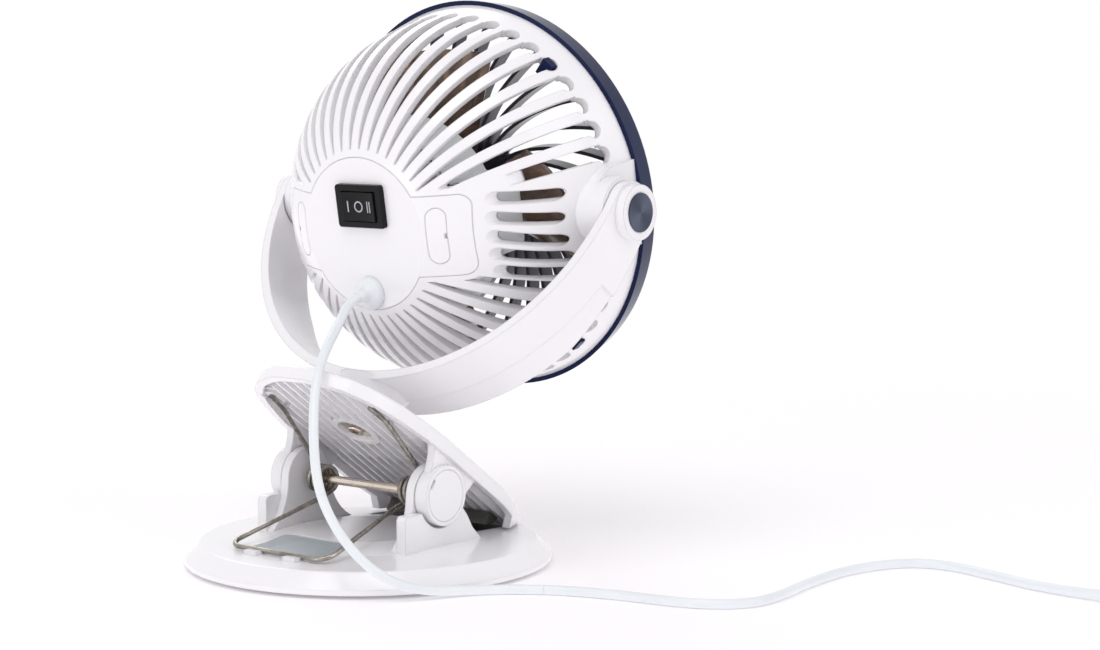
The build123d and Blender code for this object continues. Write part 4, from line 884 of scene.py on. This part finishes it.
@dataclass
class PowerCord:
    """The thin round cord and the coil of its unseen length."""

    wardrobe: Wardrobe
    diameter: float = 0.0032
    sides: int = 20
    steps: int = 8
    crease: float = math.radians(60.0)
    route: tuple[tuple[float, float, float], ...] = (
        (0.0, 0.001197, 0.092826), (0.0, 0.009089, 0.091519), (-0.0046, 0.0188, 0.0849),
        (-0.0112, 0.0333, 0.0769), (-0.0169, 0.0438, 0.0671), (-0.0228, 0.0510, 0.0540),
        (-0.0290, 0.0562, 0.0389), (-0.0348, 0.0570, 0.0283), (-0.0416, 0.0543, 0.0177),
        (-0.0487, 0.0479, 0.0085), (-0.0564, 0.0376, 0.0030), (-0.0652, 0.0197, 0.0016),
        (-0.0755, 0.0097, 0.0016), (-0.0886, 0.0020, 0.0016), (-0.1064, -0.0033, 0.0016),
        (-0.1208, -0.0053, 0.0016), (-0.1340, -0.0085, 0.0016), (-0.1452, -0.0173, 0.0016),
        (-0.1480, -0.0305, 0.0016), (-0.1440, -0.0579, 0.0016), (-0.1437, -0.0839, 0.0016),
        (-0.1526, -0.1056, 0.0016), (-0.1672, -0.1107, 0.0016), (-0.1897, -0.1038, 0.0016),
        (-0.2092, -0.0976, 0.0016), (-0.2420, -0.0966, 0.0025), (-0.2540, -0.0966, 0.0025))
    runs: tuple[CordRun, ...] = (
        CordRun("flex_top", ("cord_top",), (Body.HEAD, Body.YOKE), 3),
        CordRun("flex_mid", ("cord_mid",), (Body.YOKE, Body.LEVER), 6),
        CordRun("flex_low", ("cord_low",), (Body.LEVER, Body.BASE), 12),
        CordRun("flex_rest", ("cord_floor", "cord_coil", "cord_tail")))
    landing: int = 10
    coil_centre: tuple[float, float] = (-0.254, -0.119)
    coil_radius: float = 0.0224
    coil_step: float = 0.00375
    coil_low: float = 0.0025
    coil_lift: float = 0.00375
    turn_in: float = 0.00075
    turn_points: int = 12
    loops_in: int = 3
    loops_out: float = 2.75
    tail: tuple[float, float, float] = (0.012, 0.026, 0.038)
    tail_sag: float = 0.0002
    plug_height: float = 0.0039
    plug_nodes: tuple[str, ...] = ("usb_plug_grip", "usb_plug_shell", "usb_plug_tongue", "cord_tie")

    def coil_points(self) -> list[Vector]:
        """Work out the coil's control points, in and out again one layer higher.

        The spline passes a control point at three quarters of it and a quarter of its neighbours' mean,
        so the points are spread outwards by as much as it cuts the corners.

        Returns:
            Control points in metres.
        """
        points = []
        around = math.tau / self.turn_points
        spread = 1.0 / (0.75 + 0.25 * math.cos(around))
        steps_in = self.loops_in * self.turn_points
        climb = self.turn_points // 2
        steps_out = round(self.loops_out * self.turn_points)
        inner = self.coil_radius - self.loops_in * self.coil_step
        for k in range(1, steps_in + climb + steps_out + 1):
            if k <= steps_in:
                radius = self.coil_radius - self.coil_step * k / self.turn_points
                rise = 0.0
            elif k <= steps_in + climb:
                share = (k - steps_in) / climb
                radius = inner - self.turn_in * math.sin(math.pi * share)
                rise = self.coil_lift * (1 - math.cos(math.pi * share)) / 2
            else:
                radius = inner + self.coil_step * (k - steps_in - climb) / self.turn_points
                rise = self.coil_lift
            angle = math.pi / 2 + around * k
            points.append(Vector((self.coil_centre[0] + spread * radius * math.cos(angle),
                                  self.coil_centre[1] + spread * radius * math.sin(angle),
                                  self.coil_low + rise)))
        return points

    def control_points(self) -> list[Vector]:
        """Join the route, the coil and the straight tail.

        Returns:
            All control points from the head to the plug, in metres.
        """
        points = [Vector(p) for p in self.route] + self.coil_points()
        x = self.coil_centre[0] - self.coil_radius
        y = self.coil_centre[1]
        heights = (self.coil_low + self.coil_lift, self.plug_height + self.tail_sag, self.plug_height)
        points += [Vector((x, y - ahead, z)) for ahead, z in zip(self.tail, heights)]
        return points

    def centre_line(self, points: list[Vector]) -> list[Vector]:
        """Read the points of the smooth spline that the control points make.

        Args:
            points: control points in metres.

        Returns:
            Points along the spline, in order.
        """
        curve = bpy.data.curves.new("cord_line", "CURVE")
        curve.dimensions = "3D"
        spline = curve.splines.new("NURBS")
        spline.points.add(len(points) - 1)
        for knot, point in zip(spline.points, points):
            knot.co = (*point, 1.0)
        spline.order_u = 3
        spline.use_endpoint_u = True
        spline.resolution_u = self.steps
        carrier = bpy.data.objects.new("cord_line", curve)
        bpy.context.scene.collection.objects.link(carrier)
        line = bpy.data.meshes.new_from_object(carrier)
        samples = [v.co.copy() for v in line.vertices]
        bpy.data.objects.remove(carrier)
        bpy.data.curves.remove(curve)
        bpy.data.meshes.remove(line)
        return samples

    @staticmethod
    def frames(line: list[Vector]) -> list[Matrix]:
        """Give each point of the line an untwisted frame whose Z runs along it.

        Args:
            line: points along the cord.

        Returns:
            One matrix for each point.
        """
        frames = []
        side = Vector((1.0, 0.0, 0.0))
        for i, here in enumerate(line):
            ahead = (line[min(i + 1, len(line) - 1)] - line[max(i - 1, 0)]).normalized()
            side = (side - ahead * side.dot(ahead)).normalized()
            across = ahead.cross(side)
            rows = Matrix((side, across, ahead)).transposed().to_4x4()
            frames.append(Matrix.Translation(here) @ rows)
        return frames

    def tube(self, name: str, frames: list[Matrix]) -> bpy.types.Object:
        """Extrude a ring from frame to frame.

        Args:
            name: the new piece's name.
            frames: frames along the line.

        Returns:
            The tube, closed at both ends.
        """
        mesh = bmesh.new()
        made = bmesh.ops.create_circle(mesh, cap_ends=True, segments=self.sides, radius=self.diameter / 2)
        bmesh.ops.transform(mesh, matrix=frames[0], verts=made["verts"])
        ring = list(mesh.edges)
        for now, ahead in zip(frames, frames[1:]):
            grown = bmesh.ops.extrude_edge_only(mesh, edges=ring)["geom"]
            verts = [g for g in grown if isinstance(g, bmesh.types.BMVert)]
            ring = [g for g in grown if isinstance(g, bmesh.types.BMEdge)
                    and all(v in verts for v in g.verts)]
            bmesh.ops.transform(mesh, matrix=ahead @ now.inverted(), verts=verts)
        bmesh.ops.contextual_create(mesh, geom=ring)
        bmesh.ops.recalc_face_normals(mesh, faces=mesh.faces)
        return as_object(name, mesh, crease=self.crease)

    def cuts(self, points: list[Vector], line: list[Vector]) -> list[int]:
        """Find where the runs start and end along the line.

        Args:
            points: control points in metres.
            line: points along the cord.

        Returns:
            Indices into the line, one more than there are runs.
        """
        found = [0]
        for run in self.runs[:-1]:
            middle = (points[run.cut] + points[run.cut + 1]) / 2
            found.append(min(range(len(line)), key=lambda i, m=middle: (line[i] - m).length))
        return found + [len(line) - 1]

    def build(self) -> None:
        """Make the cord's runs in place of the imported ones; the run that crosses no joint rides the base.
        """
        points = self.control_points()
        line = self.centre_line(points)
        frames = self.frames(line)
        cuts = self.cuts(points, line)
        for run, first, last in zip(self.runs, cuts, cuts[1:]):
            piece = self.tube(run.name, frames[first:last + 1])
            self.wardrobe.dress(piece, Slot.CORD_SKIN)
            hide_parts(*run.stands_for)
            if run.joins:
                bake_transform(piece)
            else:
                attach(piece, Body.BASE.value)


# ---------------------- studio
@dataclass(frozen=True)
class SoftBox:
    """One square soft lamp, its place and size in metres and its power in watts."""

    name: str
    place: tuple[float, float, float]
    size: float
    power: float
    aim: tuple[float, float, float] = (0.0, 0.0, 0.1)

    def hang(self) -> None:
        """Hang the lamp so that it faces its aim."""
        data = bpy.data.lights.new(self.name, "AREA")
        data.size = self.size
        data.energy = self.power
        lamp = bpy.data.objects.new(self.name, data)
        way = (Vector(self.aim) - Vector(self.place)).normalized()
        turn = way.to_track_quat("-Z", "Y").to_matrix().to_4x4()
        lamp.matrix_world = Matrix.Translation(self.place) @ turn
        bpy.context.scene.collection.objects.link(lamp)


@dataclass
class Studio:
    """Camera, floor, lamps and world."""

    azimuth: float = math.radians(218.21)
    elevation: float = math.radians(6.05)
    distance: float = 0.81379
    lens: float = 77.33
    sensor: float = 36.0
    nearest: float = 0.01
    aim_height: float = 0.1
    shift_right: float = 0.06308
    shift_up: float = -0.01752
    floor_size: float = 6.0
    floor_cells: int = 8
    floor_drop: float = 0.0001
    floor_colour: tuple[float, float, float, float] = (0.88, 0.86, 0.875, 1.0)
    floor_roughness: float = 0.9
    floor_shine: float = 0.1
    glow_colour: tuple[float, float, float, float] = (1.0, 0.99, 1.0, 1.0)
    floor_glow: float = 0.13
    floor_bounce: float = 0.34
    floor_fade: tuple[float, float] = (0.25, 0.6)
    air_colour: tuple[float, float, float, float] = (1.0, 0.985, 1.0, 1.0)
    air_strength: float = 0.68
    lamps: tuple[SoftBox, ...] = (
        SoftBox("key_lamp", (-0.2, 0.6, 1.4), 1.0, 6.5),
        SoftBox("side_lamp", (-1.2, -0.25, 0.85), 0.8, 2.2),
        SoftBox("front_lamp", (0.25, 1.20, 0.24), 0.45, 1.15, (0.0, 0.0, 0.04)),
        SoftBox("rim_lamp", (0.8, -0.6, 0.9), 0.7, 2.5))

    def build(self) -> None:
        """Set up everything that is not the fan."""
        self.camera()
        self.floor()
        for lamp in self.lamps:
            lamp.hang()
        self.world()
        bpy.context.scene.view_settings.view_transform = "Standard"
        log.info("studio ready")

    def camera(self) -> None:
        """Stand the camera where the photograph was taken from."""
        a = self.azimuth
        e = self.elevation
        back = Vector((math.sin(a) * math.cos(e), -math.cos(a) * math.cos(e), math.sin(e)))
        right = Vector((math.cos(a), math.sin(a), 0.0))
        up = back.cross(right)
        target = Vector((0.0, 0.0, self.aim_height)) + right * self.shift_right + up * self.shift_up
        data = bpy.data.cameras.new("photo_camera")
        data.sensor_fit = "HORIZONTAL"
        data.sensor_width = self.sensor
        data.lens = self.lens
        data.clip_start = self.nearest
        camera = bpy.data.objects.new("photo_camera", data)
        turn = Matrix((right, up, back)).transposed().to_4x4()
        camera.matrix_world = Matrix.Translation(target + back * self.distance) @ turn
        bpy.context.scene.collection.objects.link(camera)
        bpy.context.scene.camera = camera

    def floor(self) -> None:
        """Lay the pale floor that keeps the fan's shadow."""
        mesh = bmesh.new()
        bmesh.ops.create_grid(mesh, x_segments=self.floor_cells, y_segments=self.floor_cells,
                              size=self.floor_size / 2)
        bmesh.ops.translate(mesh, vec=(0, 0, -self.floor_drop), verts=mesh.verts)
        floor = as_object("studio_floor", mesh, smooth=False)
        floor.data.materials.append(self.floor_paint())

    def floor_paint(self) -> bpy.types.Material:
        """Make the floor's paint, which fades to white away from the fan as the camera sees it.

        Returns:
            The floor's material.
        """
        paint = bpy.data.materials.new("studio_floor_look")
        paint.use_nodes = True
        tree = Tree(paint.node_tree)
        skin = tree.graph.nodes["Principled BSDF"]
        skin.inputs["Base Color"].default_value = self.floor_colour
        skin.inputs["Roughness"].default_value = self.floor_roughness
        skin.inputs["Specular IOR Level"].default_value = self.floor_shine
        glow = tree.node("ShaderNodeEmission")
        glow.inputs["Color"].default_value = self.glow_colour
        seen = tree.node("ShaderNodeLightPath").outputs["Is Camera Ray"]
        unseen = tree.calc("SUBTRACT", 1.0, seen)
        bounce = tree.calc("MULTIPLY", unseen, self.floor_bounce)
        shown = tree.calc("MULTIPLY", seen, self.floor_glow)
        tree.wire(tree.calc("ADD", bounce, shown), glow.inputs["Strength"])
        total = tree.node("ShaderNodeAddShader")
        tree.wire(skin.outputs[0], total.inputs[0])
        tree.wire(glow.outputs[0], total.inputs[1])
        far = tree.node("ShaderNodeVectorMath", operation="LENGTH")
        tree.wire(tree.node("ShaderNodeTexCoord").outputs["Object"], far.inputs[0])
        away = tree.remap(far.outputs["Value"], *self.floor_fade)
        blank = tree.node("ShaderNodeEmission")
        fade = tree.node("ShaderNodeMixShader")
        tree.wire(tree.calc("MULTIPLY", away, seen), fade.inputs[0])
        tree.wire(total.outputs[0], fade.inputs[1])
        tree.wire(blank.outputs[0], fade.inputs[2])
        output = tree.graph.nodes["Material Output"]
        tree.wire(fade.outputs[0], output.inputs["Surface"])
        return paint

    def world(self) -> None:
        """Light evenly from all round and show white behind."""
        world = bpy.data.worlds.new("studio_world")
        bpy.context.scene.world = world
        world.use_nodes = True
        tree = Tree(world.node_tree)
        tree.graph.nodes.clear()
        out = tree.node("ShaderNodeOutputWorld")
        path = tree.node("ShaderNodeLightPath")
        seen = tree.calc("MAXIMUM", path.outputs["Is Camera Ray"], path.outputs["Is Glossy Ray"])
        seen = tree.calc("MAXIMUM", seen, path.outputs["Is Transmission Ray"])
        air = tree.node("ShaderNodeBackground")
        air.inputs["Color"].default_value = self.air_colour
        air.inputs["Strength"].default_value = self.air_strength
        white = tree.node("ShaderNodeBackground")
        white.inputs["Color"].default_value = (1.0, 1.0, 1.0, 1.0)
        white.inputs["Strength"].default_value = 1.0
        pick = tree.node("ShaderNodeMixShader")
        tree.wire(seen, pick.inputs[0])
        tree.wire(air.outputs[0], pick.inputs[1])
        tree.wire(white.outputs[0], pick.inputs[2])
        tree.wire(pick.outputs[0], out.inputs["Surface"])


def main() -> None:
    """Build the scene in order."""
    logging.basicConfig(level=logging.INFO, format="%(name)s: %(message)s")
    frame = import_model()
    Studio().build()
    wardrobe = Wardrobe(frame["nodes"])
    for piece in (MotorCasing, DomeShell, BentSpring, CordGland, JawGrip, PowerCord):
        piece(wardrobe).build()
    wardrobe.dress_nodes()
    bpy.context.view_layer.update()


if __name__ == "__main__":
    main()
